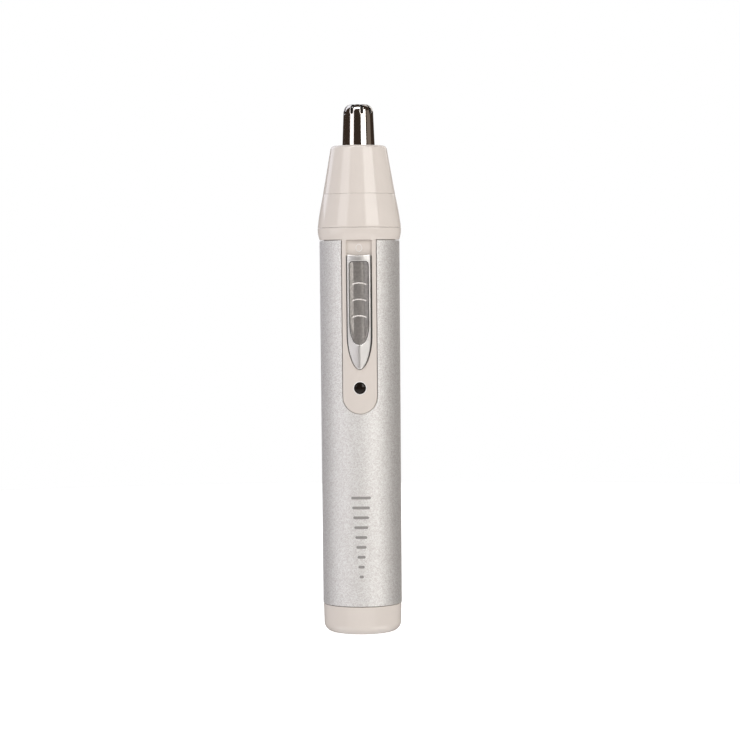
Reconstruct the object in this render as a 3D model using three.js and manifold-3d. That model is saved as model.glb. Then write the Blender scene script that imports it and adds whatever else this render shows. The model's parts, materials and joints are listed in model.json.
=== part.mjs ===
// A pen-style rechargeable nose hair trimmer, as an assembly of separate solids.
// Millimetres, +Z up along the trimmer, origin at the centre of its flat base, switch facing -Y.
// From the base up: end cap, silver sleeve over a two-part inner body, and a pull-off head whose
// cone twists against its base. Inside are a cell, a circuit board, a brushed motor and the drive.

import * as THREE from "three";
import { mergeVertices } from "three/addons/utils/BufferGeometryUtils.js";
import Module from "manifold-3d";

const wasm = await Module();
wasm.setup();

// ---------------------------------------------------------------- driving dimensions

const GAP = 0.2; // parting gap between two shells that meet
const FINE = 36; // facets round the casings and the cutter
const MEDIUM = 24; // facets round the motor and the drive
const COARSE = 12; // facets round pins, screws and small cylinders
const BORE_FACETS = 20; // facets round the bores that the shaft turns in
const CROWN_FACETS = 64; // facets round the cylinder that the slider's crown is cut from
const OUTLINE_STEPS = 16; // straight pieces in each curve of the tongue and the slot

// Heights of the parting planes, from the base to the cutter's tip.
const Z_CAP_TOP = 7.8;
const Z_SLEEVE_TOP = 108;
const Z_COLLAR_TOP = 111.4;
const Z_HEAD_SEAM = 120.7;
const Z_CONE_TOP = 134.1;
const Z_TIP = 145.45;

// Casing radii.
const R_CAP = 10.8;
const R_CAP_CORNER = 2.6;
const R_SLEEVE_LOW = 10.9;
const R_SLEEVE_HIGH = 11.05;
const R_SLEEVE_BORE = 10.15;
const R_BEAD = 11.55; // the widest ring, where the head meets the collar
const R_SEAM = 10; // the head at its twist seam
const R_CONE_TOP = 7.65;
const CONE_CORNER = 0.9;
const BEAD_HEIGHT = 2.7; // how far the bead's flare reaches down the collar
const BEAD_LAND = 0.5; // the straight ring at its top
const R_INNER = 9.9; // inner body's outside
const R_INNER_BORE = 8.7;
const R_SPIGOT = 9.3; // the collar's spigot that the head pushes on to
const R_SPIGOT_BORE = 7.9;
const SPIGOT_HEIGHT = 6;
const COLLAR_SKIRT_LOW_Z = 105; // the collar reaches down inside the sleeve to here
const R_KEY = 9.8; // the key on the spigot that keeps the head from turning
const SCREEN_Y = -15; // a plane in front of everything, where cuts from the front start
const CUT_BACK_Y = -5; // where cuts through the casing's front wall end

// The tongue: the part of the inner body that shows through the sleeve's slot.
const TONGUE_HALF = 4.65;
const TONGUE_END_Z = 60.7;
const R_TONGUE = 10.98;

// Switch slider, its channel and its travel.
const SLIDER_TRAVEL = 3.8;
const SLIDER_HALF = 3.2;
const SLIDER_TOP_Z = 104.1;
const SLIDER_TIP_Z = 72.9;
const SLIDER_BACK_Y = -9.95;
const SLIDER_CROWN_RADIUS = 7.6;
const SLIDER_FRONT_Y = -11.8;
const SLIDER_SCREEN_Y = -13; // a plane in front of the slider
const CHANNEL_CLEARANCE = 0.18;
const CHANNEL_FLOOR_Y = -9.75;
const PAD_HALF = 2.68;
const PAD_TOP_Z = 102.3;
const PAD_TIP_Z = 79.5;
const PAD_BACK_Y = -10.35;
const PAD_RIM = 0.08; // the pad's edge below the slider's crown
const PAD_FLOOR_Y = -11; // the flat middle of the pad's trough
const PAD_FLOOR_HALF = 1.3;
const PAD_TROUGH_HALF = 2.43;
const PAD_RUNOUT = 4.5; // the length over which the trough's lower end comes up to the edge
const PAD_GROOVES = 3;
const PAD_GROOVE_TOP_Z = 96.7;
const PAD_GROOVE_PITCH = 4.47;
const PAD_GROOVE_DEPTH = 0.3;

// Stem that joins the slider to the contact carriage through the channel's floor.
const STEM_HALF = 0.9;
const STEM_BACK_Y = -7.5;
const STEM_LOW_Z = 86;
const STEM_HIGH_Z = 90;

// Indicator light.
const LED_Z = 67.7;
const LED_RADIUS = 1.5;
const LED_HOLE_RADIUS = 1.65;

// Cutter.
const CUTTER_SLOTS = 9;
const CUTTER_SLOT_WIDTH = 0.84;
const R_CUTTER_SLOT_END = 1.5; // the slots run in over the shoulder to this radius
const R_CUTTER_HOLE = 0.6;
const CUTTER_SLOT_FOOT_Z = 143.2;
const CUTTER_SLOT_PHASE = 14.7; // degrees from the front, towards +X
const CUTTER_WALL = 0.45;
const R_CUTTER_ROOT = 4.57;
const R_CUTTER_SHOULDER = 4.13;
const R_CUTTER_TOP = 2.2;
const Z_CUTTER_SHOULDER = 143.2;
const R_CUTTER_FLANGE = 5.9;
const Z_CUTTER_FLANGE = 131.2;
const CUTTER_FLANGE = 0.9;
const R_CONE_BORE = 6.15; // the pocket in the cone that holds the cutter's flange

// Twist joint between the head's base and its cone.
const TWIST_TRAVEL = 35; // degrees
const TWIST_LUGS = 3;
const TWIST_RIB_WIDTH = 12; // degrees
const TWIST_PLAY = 1.5; // degrees of gap at each end of the travel
const R_TWIST_SPIGOT = 7.6;
const R_TWIST_SPIGOT_BORE = 6.6;
const R_TWIST_SOCKET = 8.2;
const Z_TWIST_SPIGOT_TOP = 125;

// Drive train.
const R_SHAFT = 1;
const R_SHAFT_BORE = 1.12;
const Z_SHAFT_LOW = 88.2;
const Z_SHAFT_HIGH = 118.4;
const Z_COUPLING_LOW = 112.8;
const COUPLING_POST_HALF = 1.5;
const Z_COUPLING_HIGH = 124.5;
const Z_CARRIER_LOW = 118.3;
const CARRIER_SOCKET_HALF = 1.7;
const R_SPINDLE = 1.5;
const Z_SPINDLE_TOP = 142.5;
const BLADE_THICKNESS = 0.5;
const BLADE_HALF = 3.5;
const Z_BLADE_LOW = 134.5;
const Z_BLADE_TOP = 144.75;
const Z_BLADE_SHOULDER = 142.9;
const BLADE_SLOT_HALF = 0.4;
const SPRING_RADIUS = 3.2;
const SPRING_WIRE = 0.25;
const SPRING_TURNS = 4;
const Z_SPRING_LOW = 113.9;
const Z_SPRING_HIGH = 118;

// Motor.
const R_MOTOR = 6;
const MOTOR_FLAT = 5; // half the can's depth across its flats
const MOTOR_WALL = 0.6;
const Z_MOTOR_LOW = 89;
const Z_MOTOR_HIGH = 109;
const MOTOR_SCREW_X = 4;
const R_MOTOR_BUSH = 1.6;
const ARMATURE_POLES = 3;

// Cell and circuit board.
const R_CELL = 5.2;
const Z_CELL_LOW = 15;
const Z_CELL_HIGH = 59.2;
const BOARD_HALF = 4.8;
const BOARD_FRONT_Y = -6.4;
const BOARD_BACK_Y = -5.6;
const BOARD_LOW_Z = 62.5;
const BOARD_HIGH_Z = 103;

// Screws that hold the two inner body halves together.
const BODY_SCREW_X = 6.6;
const BODY_SCREW_Z = 75;
const BODY_SCREW_SEAT_Y = 4.1;
const R_BODY_SCREW_HOLE = 1.1;
const R_SCREW_HEAD = 1.5;

// Charging inlet in the base.
const R_INLET = 1.85;
const R_INLET_BODY = 3.6;
const R_BASE_HOLE = 2;

const LEAD_RADIUS = 0.5;
const LEAD_SIDE_X = 6.4; // the leads run up beside the cell here
const LEAD_BOARD_Y = -4.95; // centre of a lead soldered to the board's back

// ---------------------------------------------------------------- materials

function finish(color, roughness, metalness) {
  return new THREE.MeshStandardMaterial({ color, roughness, metalness });
}

const IVORY = finish(0xdfd5cc, 0.25, 0);
const SILVER = finish(0xc9c6c3, 0.38, 0.85);
const SLIDER_SILVER = finish(0xd0cecb, 0.25, 0.9);
const PAD_GREY = finish(0x87827d, 0.42, 0.7);
const STEEL = finish(0xb9b6b2, 0.12, 1);
const BLADE_STEEL = finish(0xa9a9ab, 0.25, 1);
const SMOKED = finish(0x1c1512, 0.08, 0);
const BLACK_PLASTIC = finish(0x1b1b1d, 0.5, 0);
const NYLON = finish(0xe9e7e0, 0.45, 0);
const RUBBER = finish(0x2a2a2b, 0.8, 0);
const BRASS = finish(0xb58e4a, 0.35, 1);
const COPPER = finish(0xb4673e, 0.35, 1);
const NICKEL = finish(0xb7b5ae, 0.35, 1);
const CELL_WRAP = finish(0x3f7d5a, 0.4, 0);
const BOARD_GREEN = finish(0x2c6a43, 0.5, 0);
const MOTOR_STEEL = finish(0x9c9a96, 0.35, 1);
const MAGNET = finish(0x3a3836, 0.75, 0);
const RED_LEAD = finish(0xa32920, 0.55, 0);
const BLACK_LEAD = finish(0x1f1f20, 0.55, 0);

// ---------------------------------------------------------------- geometry helpers

// A closed three.js geometry as a manifold-3d solid.
function solid(geometry) {
  const bare = geometry.clone();
  bare.deleteAttribute("normal");
  bare.deleteAttribute("uv");
  const merged = mergeVertices(bare, 1e-4);
  const mesh = new wasm.Mesh({
    numProp: 3,
    vertProperties: merged.attributes.position.array,
    triVerts: new Uint32Array(merged.index.array),
  });
  return new wasm.Manifold(mesh);
}

// A manifold-3d solid as a three.js geometry.
function geometryOf(body) {
  const mesh = body.getMesh();
  const position = new THREE.BufferAttribute(new Float32Array(mesh.vertProperties), 3);
  const geometry = new THREE.BufferGeometry();
  geometry.setAttribute("position", position);
  geometry.setIndex(new THREE.BufferAttribute(new Uint32Array(mesh.triVerts), 1));
  geometry.computeVertexNormals();
  return geometry;
}

// A profile of [radius, z] points turned about +Z. It runs counter-clockwise seen with the
// radius to the right, and closes on itself unless it starts and ends on the axis.
function turned(profile, facets = FINE) {
  const points = profile.map(([r, z]) => new THREE.Vector2(r, z));
  const last = profile[profile.length - 1];
  if (profile[0][0] > 0 || last[0] > 0) points.push(points[0].clone());
  return solid(new THREE.LatheGeometry(points, facets).rotateX(Math.PI / 2));
}

function cylinder(radius, low, high, facets = COARSE) {
  return turned([[0, low], [radius, low], [radius, high], [0, high]], facets);
}

function tube(bore, radius, low, high, facets = COARSE) {
  return turned([[bore, low], [radius, low], [radius, high], [bore, high]], facets);
}

// A round bar along Y at (x, z).
function barAlongY(radius, x, z, back, front, facets = COARSE) {
  const bar = new THREE.CylinderGeometry(radius, radius, back - front, facets);
  return solid(bar.translate(x, (back + front) / 2, z));
}

function block([x0, x1], [y0, y1], [z0, z1]) {
  const box = new THREE.BoxGeometry(x1 - x0, y1 - y0, z1 - z0);
  return solid(box.translate((x0 + x1) / 2, (y0 + y1) / 2, (z0 + z1) / 2));
}

// An outline in (x, z) made solid from y = back to y = front, which is nearer -Y.
function panel(shape, back, front, curveSegments = 12) {
  const options = { depth: back - front, bevelEnabled: false, curveSegments };
  const plate = new THREE.ExtrudeGeometry(shape, options);
  return solid(plate.rotateX(Math.PI / 2).translate(0, back, 0));
}

// An outline in (x, y) made solid from z = low to z = high.
function slab(shape, low, high, curveSegments = 12) {
  const options = { depth: high - low, bevelEnabled: false, curveSegments };
  return solid(new THREE.ExtrudeGeometry(shape, options).translate(0, 0, low));
}

// A round section carried along a curve.
function swept(curve, radius, steps, sides) {
  const section = new THREE.Shape();
  section.absarc(0, 0, radius, 0, 2 * Math.PI);
  const options = { steps, extrudePath: curve, curveSegments: sides / 2 };
  return solid(new THREE.ExtrudeGeometry(section, options));
}

// [radius, z] points of an arc, angles in degrees from the +radius direction.
function arc(centreR, centreZ, radiusR, radiusZ, from, to, steps) {
  return Array.from({ length: steps + 1 }, (_, i) => {
    const a = THREE.MathUtils.degToRad(from + ((to - from) * i) / steps);
    return [centreR + radiusR * Math.cos(a), centreZ + radiusZ * Math.sin(a)];
  });
}

// A sector of a ring about +Z, centred on an angle in degrees from +X.
function ringSector(inner, outer, centre, width, low, high) {
  const from = THREE.MathUtils.degToRad(centre - width / 2);
  const to = THREE.MathUtils.degToRad(centre + width / 2);
  const shape = new THREE.Shape();
  shape.absarc(0, 0, outer, from, to, false);
  shape.absarc(0, 0, inner, to, from, true);
  return slab(shape, low, high, 6);
}

function turn(body, degrees) {
  return body.rotate([0, 0, degrees]);
}

function joined(...bodies) {
  return bodies.reduce((whole, body) => whole.add(body));
}

const trimmer = new THREE.Group();

function place(name, body, material) {
  const mesh = new THREE.Mesh(geometryOf(body), material);
  mesh.name = name;
  trimmer.add(mesh);
}

// ---------------------------------------------------------------- outlines in (x, z)

// The tongue or the sleeve's slot: straight sides and a round lower end.
function tongueOutline(spread, top) {
  const half = TONGUE_HALF + spread;
  const centre = TONGUE_END_Z + TONGUE_HALF;
  const shape = new THREE.Shape();
  shape.moveTo(half, top);
  shape.lineTo(-half, top);
  shape.lineTo(-half, centre);
  shape.absarc(0, centre, half, Math.PI, 2 * Math.PI, false);
  return shape;
}

// The slider or its channel: straight sides that close in an ogive at the lower end.
function boatOutline(half, top, tip) {
  const ogive = 9.5;
  const fullness = 4.2;
  const tipHalf = 0.5 * half;
  const shape = new THREE.Shape();
  shape.moveTo(half, top);
  shape.lineTo(-half, top);
  shape.lineTo(-half, tip + ogive);
  shape.bezierCurveTo(-half, tip + fullness, -tipHalf, tip, 0, tip);
  shape.bezierCurveTo(tipHalf, tip, half, tip + fullness, half, tip + ogive);
  return shape;
}

// The thumb pad: round upper corners and a U-shaped lower end.
function padOutline(inset) {
  const half = PAD_HALF - inset;
  const top = PAD_TOP_Z - inset;
  const tip = PAD_TIP_Z + inset;
  const corner = 0.9;
  const shoulder = 6.6;
  const fullness = 1.9;
  const tipHalf = 0.62 * half;
  const shape = new THREE.Shape();
  shape.moveTo(half, top - corner);
  shape.quadraticCurveTo(half, top, half - corner, top);
  shape.lineTo(corner - half, top);
  shape.quadraticCurveTo(-half, top, -half, top - corner);
  shape.lineTo(-half, tip + shoulder);
  shape.bezierCurveTo(-half, tip + fullness, -tipHalf, tip, 0, tip);
  shape.bezierCurveTo(tipHalf, tip, half, tip + fullness, half, tip + shoulder);
  return shape;
}

// ---------------------------------------------------------------- casing

function bottomCap() {
  const floor = 1.4;
  const spigot = R_INNER_BORE - 0.12;
  const spigotBore = 7.6;
  const spigotTop = 12.2;
  const hollow = 9.4; // the cap's inside, below its rim
  const hollowTop = 6.6;
  const hollowLow = 3.2;
  const floorEdge = 8.2;
  const boss = 4.9; // the ring that the charging inlet sits in
  const bossBore = R_INLET_BODY + GAP;
  const bossTop = 7.5;
  const corner = arc(R_CAP - R_CAP_CORNER, R_CAP_CORNER, R_CAP_CORNER, R_CAP_CORNER, -90, 0, 4);
  return turned([
    [R_BASE_HOLE, 0],
    ...corner,
    [R_CAP, Z_CAP_TOP],
    [spigot, Z_CAP_TOP],
    [spigot, spigotTop],
    [spigotBore, spigotTop],
    [spigotBore, hollowTop],
    [hollow, hollowTop],
    [hollow, hollowLow],
    [floorEdge, floor],
    [boss, floor],
    [boss, bossTop],
    [bossBore, bossTop],
    [bossBore, floor],
    [R_BASE_HOLE, floor],
  ]);
}

function chargeSocket() {
  const low = 1.6;
  const high = 10.4;
  const backWall = 9;
  const pinHole = 0.8;
  return turned([
    [R_INLET, low],
    [R_INLET_BODY, low],
    [R_INLET_BODY, high],
    [pinHole, high],
    [pinHole, backWall],
    [R_INLET, backWall],
  ], MEDIUM);
}

function bodySleeve() {
  const low = Z_CAP_TOP + GAP / 2;
  const shell = turned([
    [R_SLEEVE_BORE, low],
    [R_SLEEVE_LOW, low],
    [R_SLEEVE_HIGH, Z_SLEEVE_TOP],
    [R_SLEEVE_BORE, Z_SLEEVE_TOP],
  ]);
  const slotClearance = 0.15;
  const outline = tongueOutline(slotClearance, Z_SLEEVE_TOP + 1);
  const slot = panel(outline, CUT_BACK_Y, SCREEN_Y, OUTLINE_STEPS);
  return shell.subtract(slot);
}

// The collar ring, the bulkhead that carries the motor, and the spigot with its seal groove.
function collar() {
  const bulkheadLow = Z_MOTOR_HIGH + 0.3;
  const bulkheadHigh = 111.2;
  const shaftHole = 2.3;
  const ringLow = Z_SLEEVE_TOP + GAP;
  const grooveLow = 113.8;
  const grooveHigh = 115.3;
  const grooveRadius = 8.3;
  const spigotTop = Z_COLLAR_TOP + SPIGOT_HEIGHT;
  const spigotChamfer = 0.4;
  const beadLow = Z_COLLAR_TOP - BEAD_LAND;
  const flare = [1, 0.8, 0.6, 0.4, 0.2].map((t) => [
    R_BEAD - (R_BEAD - R_TONGUE) * t * t,
    beadLow - BEAD_HEIGHT * t,
  ]);
  const ring = turned([
    [shaftHole, bulkheadLow],
    [R_INNER_BORE, bulkheadLow],
    [R_INNER_BORE, COLLAR_SKIRT_LOW_Z],
    [R_INNER, COLLAR_SKIRT_LOW_Z],
    [R_INNER, ringLow],
    ...flare,
    [R_BEAD, beadLow],
    [R_BEAD, Z_COLLAR_TOP],
    [R_SPIGOT, Z_COLLAR_TOP],
    [R_SPIGOT, grooveLow],
    [grooveRadius, grooveLow],
    [grooveRadius, grooveHigh],
    [R_SPIGOT, grooveHigh],
    [R_SPIGOT, spigotTop - spigotChamfer],
    [R_SPIGOT - spigotChamfer, spigotTop],
    [R_SPIGOT_BORE, spigotTop],
    [R_SPIGOT_BORE, bulkheadHigh],
    [shaftHole, bulkheadHigh],
  ]);
  const keyHalf = 1;
  const key = block([-keyHalf, keyHalf], [R_SPIGOT - 0.5, R_KEY], [Z_COLLAR_TOP - 0.1, grooveLow]);
  const screwHole = 1;
  const screwHoles = [-1, 1].map((side) =>
    cylinder(screwHole, bulkheadLow - 1, bulkheadHigh + 1).translate([side * MOTOR_SCREW_X, 0, 0]),
  );
  return ring.add(key).subtract(joined(...screwHoles));
}

// Ribs across one half of the inner body: side is -1 for the front half, 1 for the rear.
function ribs(side) {
  const half = 5;
  const thickness = 1.2;
  const cellHeights = [18, 38, 56];
  const endStopZ = 12.6;
  const endStopReach = 3;
  const rib = (z, near) => {
    const span = side < 0 ? [-R_INNER, -near] : [near, R_INNER];
    return block([-half, half], span, [z, z + thickness]);
  };
  const cellRibs = joined(...cellHeights.map((z) => rib(z, GAP)));
  const cellPocket = cylinder(R_CELL + 0.3, 0, Z_SLEEVE_TOP, FINE);
  const endStop = rib(endStopZ, endStopReach);
  let all = cellRibs.subtract(cellPocket).add(endStop);
  if (side > 0) {
    const aboveCell = 61;
    const belowMotor = 85.2;
    const besideMotor = 103;
    all = joined(all, rib(aboveCell, GAP), rib(belowMotor, GAP), rib(besideMotor, MOTOR_FLAT + 0.3));
  }
  const clip = cylinder(R_INNER_BORE + 0.4, 0, Z_SLEEVE_TOP, FINE);
  return all.intersect(clip);
}

// Screw bosses of one half of the inner body.
function bosses(side) {
  const radius = 1.7;
  const clip = cylinder(R_INNER - 0.1, 0, Z_SLEEVE_TOP, FINE);
  const pair = [-1, 1].map((x) => {
    const [back, front] = side < 0 ? [-GAP, -R_INNER] : [R_INNER, GAP];
    return barAlongY(radius, x * BODY_SCREW_X, BODY_SCREW_Z, back, front);
  });
  return joined(...pair).intersect(clip);
}

function halfShell(side, low, high) {
  const shell = tube(R_INNER_BORE, R_INNER, low, high, FINE);
  const span = side < 0 ? [-R_SLEEVE_BORE, -GAP / 2] : [GAP / 2, R_SLEEVE_BORE];
  return shell.intersect(block([-R_SLEEVE_BORE, R_SLEEVE_BORE], span, [low - 1, high + 1]));
}

function innerBodyFront() {
  const shellTop = 106;
  const tongueTop = 108.6;
  const shell = halfShell(-1, Z_CAP_TOP + GAP, shellTop);
  const band = tube(R_INNER - 0.4, R_TONGUE, TONGUE_END_Z - 1, tongueTop + 1, FINE);
  const outline = tongueOutline(0, tongueTop);
  const tongue = band.intersect(panel(outline, CUT_BACK_Y, SCREEN_Y, OUTLINE_STEPS));
  const channelTop = SLIDER_TOP_Z + SLIDER_TRAVEL + CHANNEL_CLEARANCE;
  const channel = panel(
    boatOutline(SLIDER_HALF + CHANNEL_CLEARANCE, channelTop, SLIDER_TIP_Z - CHANNEL_CLEARANCE),
    CHANNEL_FLOOR_Y,
    SCREEN_Y,
  );
  const stemPlay = 0.3;
  const stemSlot = block(
    [-STEM_HALF - stemPlay, STEM_HALF + stemPlay],
    [SCREEN_Y, STEM_BACK_Y],
    [STEM_LOW_Z - stemPlay, STEM_HIGH_Z + SLIDER_TRAVEL + stemPlay],
  );
  const ledHole = barAlongY(LED_HOLE_RADIUS, 0, LED_Z, CUT_BACK_Y, SCREEN_Y, MEDIUM);
  const screwHoleFront = -5.2;
  const screwHoles = [-1, 1].map((x) =>
    barAlongY(R_BODY_SCREW_HOLE, x * BODY_SCREW_X, BODY_SCREW_Z, 1, screwHoleFront),
  );
  return joined(shell, collar(), tongue, ribs(-1), bosses(-1))
    .subtract(channel)
    .subtract(stemSlot)
    .subtract(ledHole)
    .subtract(joined(...screwHoles));
}

function innerBodyRear() {
  const shell = halfShell(1, Z_CAP_TOP + GAP, COLLAR_SKIRT_LOW_Z - GAP);
  const leadPassage = cylinder(1.6, Z_CELL_HIGH + 0.8, Z_CELL_HIGH + 3.8);
  const headHole = R_SCREW_HEAD + 0.3;
  const seat = BODY_SCREW_SEAT_Y - GAP;
  const holes = [-1, 1].map((x) =>
    joined(
      barAlongY(R_BODY_SCREW_HOLE, x * BODY_SCREW_X, BODY_SCREW_Z, R_INNER_BORE, -1),
      barAlongY(headHole, x * BODY_SCREW_X, BODY_SCREW_Z, R_SLEEVE_HIGH, seat),
    ),
  );
  return joined(shell, ribs(1), bosses(1))
    .subtract(joined(...holes))
    .subtract(leadPassage);
}

// A pan-head screw along +Z with its head above z = seat, and a cross recess in the head.
function panScrew(shankRadius, headRadius, length, headHeight) {
  const rim = 0.3 * headHeight;
  const flat = 0.6 * headRadius;
  const point = 0.5 * shankRadius;
  const body = turned([
    [0, -length],
    [point, -length],
    [shankRadius, shankRadius - length],
    [shankRadius, 0],
    [headRadius, 0],
    [headRadius, rim],
    [flat, headHeight],
    [0, headHeight],
  ], COARSE);
  const slotHalf = 0.15;
  const long = [-0.55 * headRadius, 0.55 * headRadius];
  const narrow = [-slotHalf, slotHalf];
  const depth = [0.45 * headHeight, headHeight + 1];
  const recess = joined(block(long, narrow, depth), block(narrow, long, depth));
  return body.subtract(recess);
}

// ---------------------------------------------------------------- switch

// The crowned face of the slider, sunk by an amount below its full height.
function crown(sink) {
  const centre = SLIDER_FRONT_Y + SLIDER_CROWN_RADIUS;
  const low = SLIDER_TIP_Z - 1;
  const high = SLIDER_TOP_Z + 1;
  return cylinder(SLIDER_CROWN_RADIUS - sink, low, high, CROWN_FACETS).translate([0, centre, 0]);
}

function switchSlider() {
  const outline = boatOutline(SLIDER_HALF, SLIDER_TOP_Z, SLIDER_TIP_Z);
  const shell = panel(outline, SLIDER_BACK_Y, SLIDER_SCREEN_Y).intersect(crown(0));
  const recess = panel(padOutline(0), PAD_BACK_Y, SLIDER_SCREEN_Y);
  const stem = block(
    [-STEM_HALF, STEM_HALF],
    [SLIDER_BACK_Y - 0.2, STEM_BACK_Y],
    [STEM_LOW_Z, STEM_HIGH_Z],
  );
  return shell.subtract(recess).add(stem);
}

// The hollow along the pad: a flat floor between sloping sides, running out at the lower end.
function padTrough() {
  const fall = SLIDER_CROWN_RADIUS - Math.sqrt(SLIDER_CROWN_RADIUS ** 2 - PAD_TROUGH_HALF ** 2);
  const edgeY = SLIDER_FRONT_Y + PAD_RIM + fall;
  const shape = new THREE.Shape();
  shape.moveTo(-PAD_TROUGH_HALF, edgeY);
  shape.lineTo(-PAD_TROUGH_HALF, SLIDER_SCREEN_Y);
  shape.lineTo(PAD_TROUGH_HALF, SLIDER_SCREEN_Y);
  shape.lineTo(PAD_TROUGH_HALF, edgeY);
  shape.lineTo(PAD_FLOOR_HALF, PAD_FLOOR_Y);
  shape.lineTo(-PAD_FLOOR_HALF, PAD_FLOOR_Y);
  const rimY = SLIDER_FRONT_Y + PAD_RIM;
  const slope = (PAD_FLOOR_Y - rimY) / PAD_RUNOUT;
  const offset = (slope * PAD_TIP_Z - rimY) / Math.hypot(1, slope);
  return slab(shape, PAD_TIP_Z, PAD_TOP_Z + 1).trimByPlane([0, -1, slope], offset);
}

// One arched groove across the pad, highest at its middle.
function padGroove(topZ) {
  const half = 2;
  const rise = 0.44;
  const width = 0.45;
  const shape = new THREE.Shape();
  shape.moveTo(-half, topZ - rise);
  shape.quadraticCurveTo(0, topZ + rise, half, topZ - rise);
  shape.lineTo(half, topZ - rise - width);
  shape.quadraticCurveTo(0, topZ + rise - width, -half, topZ - rise - width);
  const steps = 6;
  return panel(shape, PAD_FLOOR_Y + PAD_GROOVE_DEPTH, SLIDER_SCREEN_Y, steps);
}

function thumbPad() {
  const fit = 0.12;
  const outline = padOutline(fit);
  const plate = panel(outline, PAD_BACK_Y - fit, SLIDER_SCREEN_Y).intersect(crown(PAD_RIM));
  const grooves = Array.from({ length: PAD_GROOVES }, (_, i) =>
    padGroove(PAD_GROOVE_TOP_Z - i * PAD_GROOVE_PITCH),
  );
  return plate.subtract(padTrough()).subtract(joined(...grooves));
}

function switchCarriage() {
  const half = 2.8;
  const depth = [-8, -7.05];
  const plate = block([-half, half], depth, [82.5, 93]);
  const play = 0.2;
  const socket = block(
    [-STEM_HALF - play, STEM_HALF + play],
    [depth[0] - 1, depth[1] + 1],
    [STEM_LOW_Z - play, STEM_HIGH_Z + play],
  );
  return plate.subtract(socket);
}

// ---------------------------------------------------------------- cell, board and inlet

function cell() {
  const nub = 1.9;
  const nubHeight = 0.8;
  const chamfer = 0.4;
  return turned([
    [0, Z_CELL_LOW],
    [R_CELL - chamfer, Z_CELL_LOW],
    [R_CELL, Z_CELL_LOW + chamfer],
    [R_CELL, Z_CELL_HIGH - chamfer],
    [R_CELL - chamfer, Z_CELL_HIGH],
    [nub, Z_CELL_HIGH],
    [nub, Z_CELL_HIGH + nubHeight],
    [0, Z_CELL_HIGH + nubHeight],
  ], MEDIUM);
}

// A light with a flange on the board and a domed end in the tongue's hole.
function indicatorLed() {
  const flange = 1.8;
  const foot = 6.55;
  const flangeTop = 7.3;
  const shoulder = 9.3;
  const dome = arc(0, shoulder, LED_RADIUS, LED_RADIUS, 0, 90, 3);
  const upright = turned([
    [0, foot],
    [flange, foot],
    [flange, flangeTop],
    [LED_RADIUS, flangeTop],
    ...dome.slice(0, -1),
    [0, shoulder + LED_RADIUS],
  ], BORE_FACETS);
  return upright.rotate([90, 0, 0]).translate([0, 0, LED_Z]);
}

// A two-lead component's body, lying across the front of the board.
function axialPart(radius, half, z) {
  const bar = new THREE.CylinderGeometry(radius, radius, 2 * half, COARSE);
  const y = BOARD_FRONT_Y - radius - 0.1;
  return solid(bar.rotateZ(Math.PI / 2).translate(0, y, z));
}

// ---------------------------------------------------------------- motor

// A cylinder with two flats, one towards -Y and one towards +Y.
function flatSided(radius, flat, low, high) {
  const wide = [-radius - 1, radius + 1];
  const cut = block(wide, [-flat, flat], [low - 1, high + 1]);
  return cylinder(radius, low, high, MEDIUM).intersect(cut);
}

function motorCan() {
  const top = 0.8;
  const inner = R_MOTOR - MOTOR_WALL;
  const innerFlat = MOTOR_FLAT - MOTOR_WALL;
  const outside = flatSided(R_MOTOR, MOTOR_FLAT, Z_MOTOR_LOW, Z_MOTOR_HIGH);
  const inside = flatSided(inner, innerFlat, Z_MOTOR_LOW - 1, Z_MOTOR_HIGH - top);
  const through = [Z_MOTOR_HIGH - 2, Z_MOTOR_HIGH + 1];
  const bushHole = cylinder(R_MOTOR_BUSH + 0.15, ...through, MEDIUM);
  const screwHole = 0.95;
  const screwHoles = [-1, 1].map((side) =>
    cylinder(screwHole, ...through).translate([side * MOTOR_SCREW_X, 0, 0]),
  );
  return outside.subtract(inside).subtract(bushHole).subtract(joined(...screwHoles));
}

function motorEndBell() {
  const flange = flatSided(R_MOTOR - 0.1, MOTOR_FLAT - 0.1, 86.9, 88.8);
  const plug = flatSided(5.2, 4.2, 88.7, 90);
  const bearing = cylinder(R_SHAFT_BORE, 87.9, 91, BORE_FACETS);
  return flange.add(plug).subtract(bearing);
}

function motorMagnet(side) {
  const inner = 3.85;
  const outer = 5.1;
  const width = 76; // degrees
  return ringSector(inner, outer, side < 0 ? 180 : 0, width, 93.5, 105.5);
}

// The laminated core: a hub with three arms that end in curved shoes.
function armatureCore() {
  const low = 95.5;
  const high = 103.5;
  const armHalf = 0.6;
  const hub = 1.6;
  const shoeInner = 2.85;
  const shoeOuter = 3.5;
  const shoeWidth = 84; // degrees
  const poles = Array.from({ length: ARMATURE_POLES }, (_, i) => {
    const arm = block([hub - 0.5, shoeInner + 0.2], [-armHalf, armHalf], [low, high]);
    const shoe = ringSector(shoeInner, shoeOuter, 0, shoeWidth, low, high);
    return turn(arm.add(shoe), (360 / ARMATURE_POLES) * i);
  });
  return joined(cylinder(hub, low, high, BORE_FACETS), ...poles).subtract(
    cylinder(R_SHAFT_BORE, low - 1, high + 1, BORE_FACETS),
  );
}

// One winding: a rectangular loop round a pole's arm.
function armatureCoil(index) {
  const outerHalf = 1.35;
  const innerHalf = 0.75;
  const loop = block([1.8, 2.4], [-outerHalf, outerHalf], [94.6, 104.4]);
  const hole = block([1, 3], [-innerHalf, innerHalf], [95.35, 103.65]);
  return turn(loop.subtract(hole), (360 / ARMATURE_POLES) * index);
}

// ---------------------------------------------------------------- drive train

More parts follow.
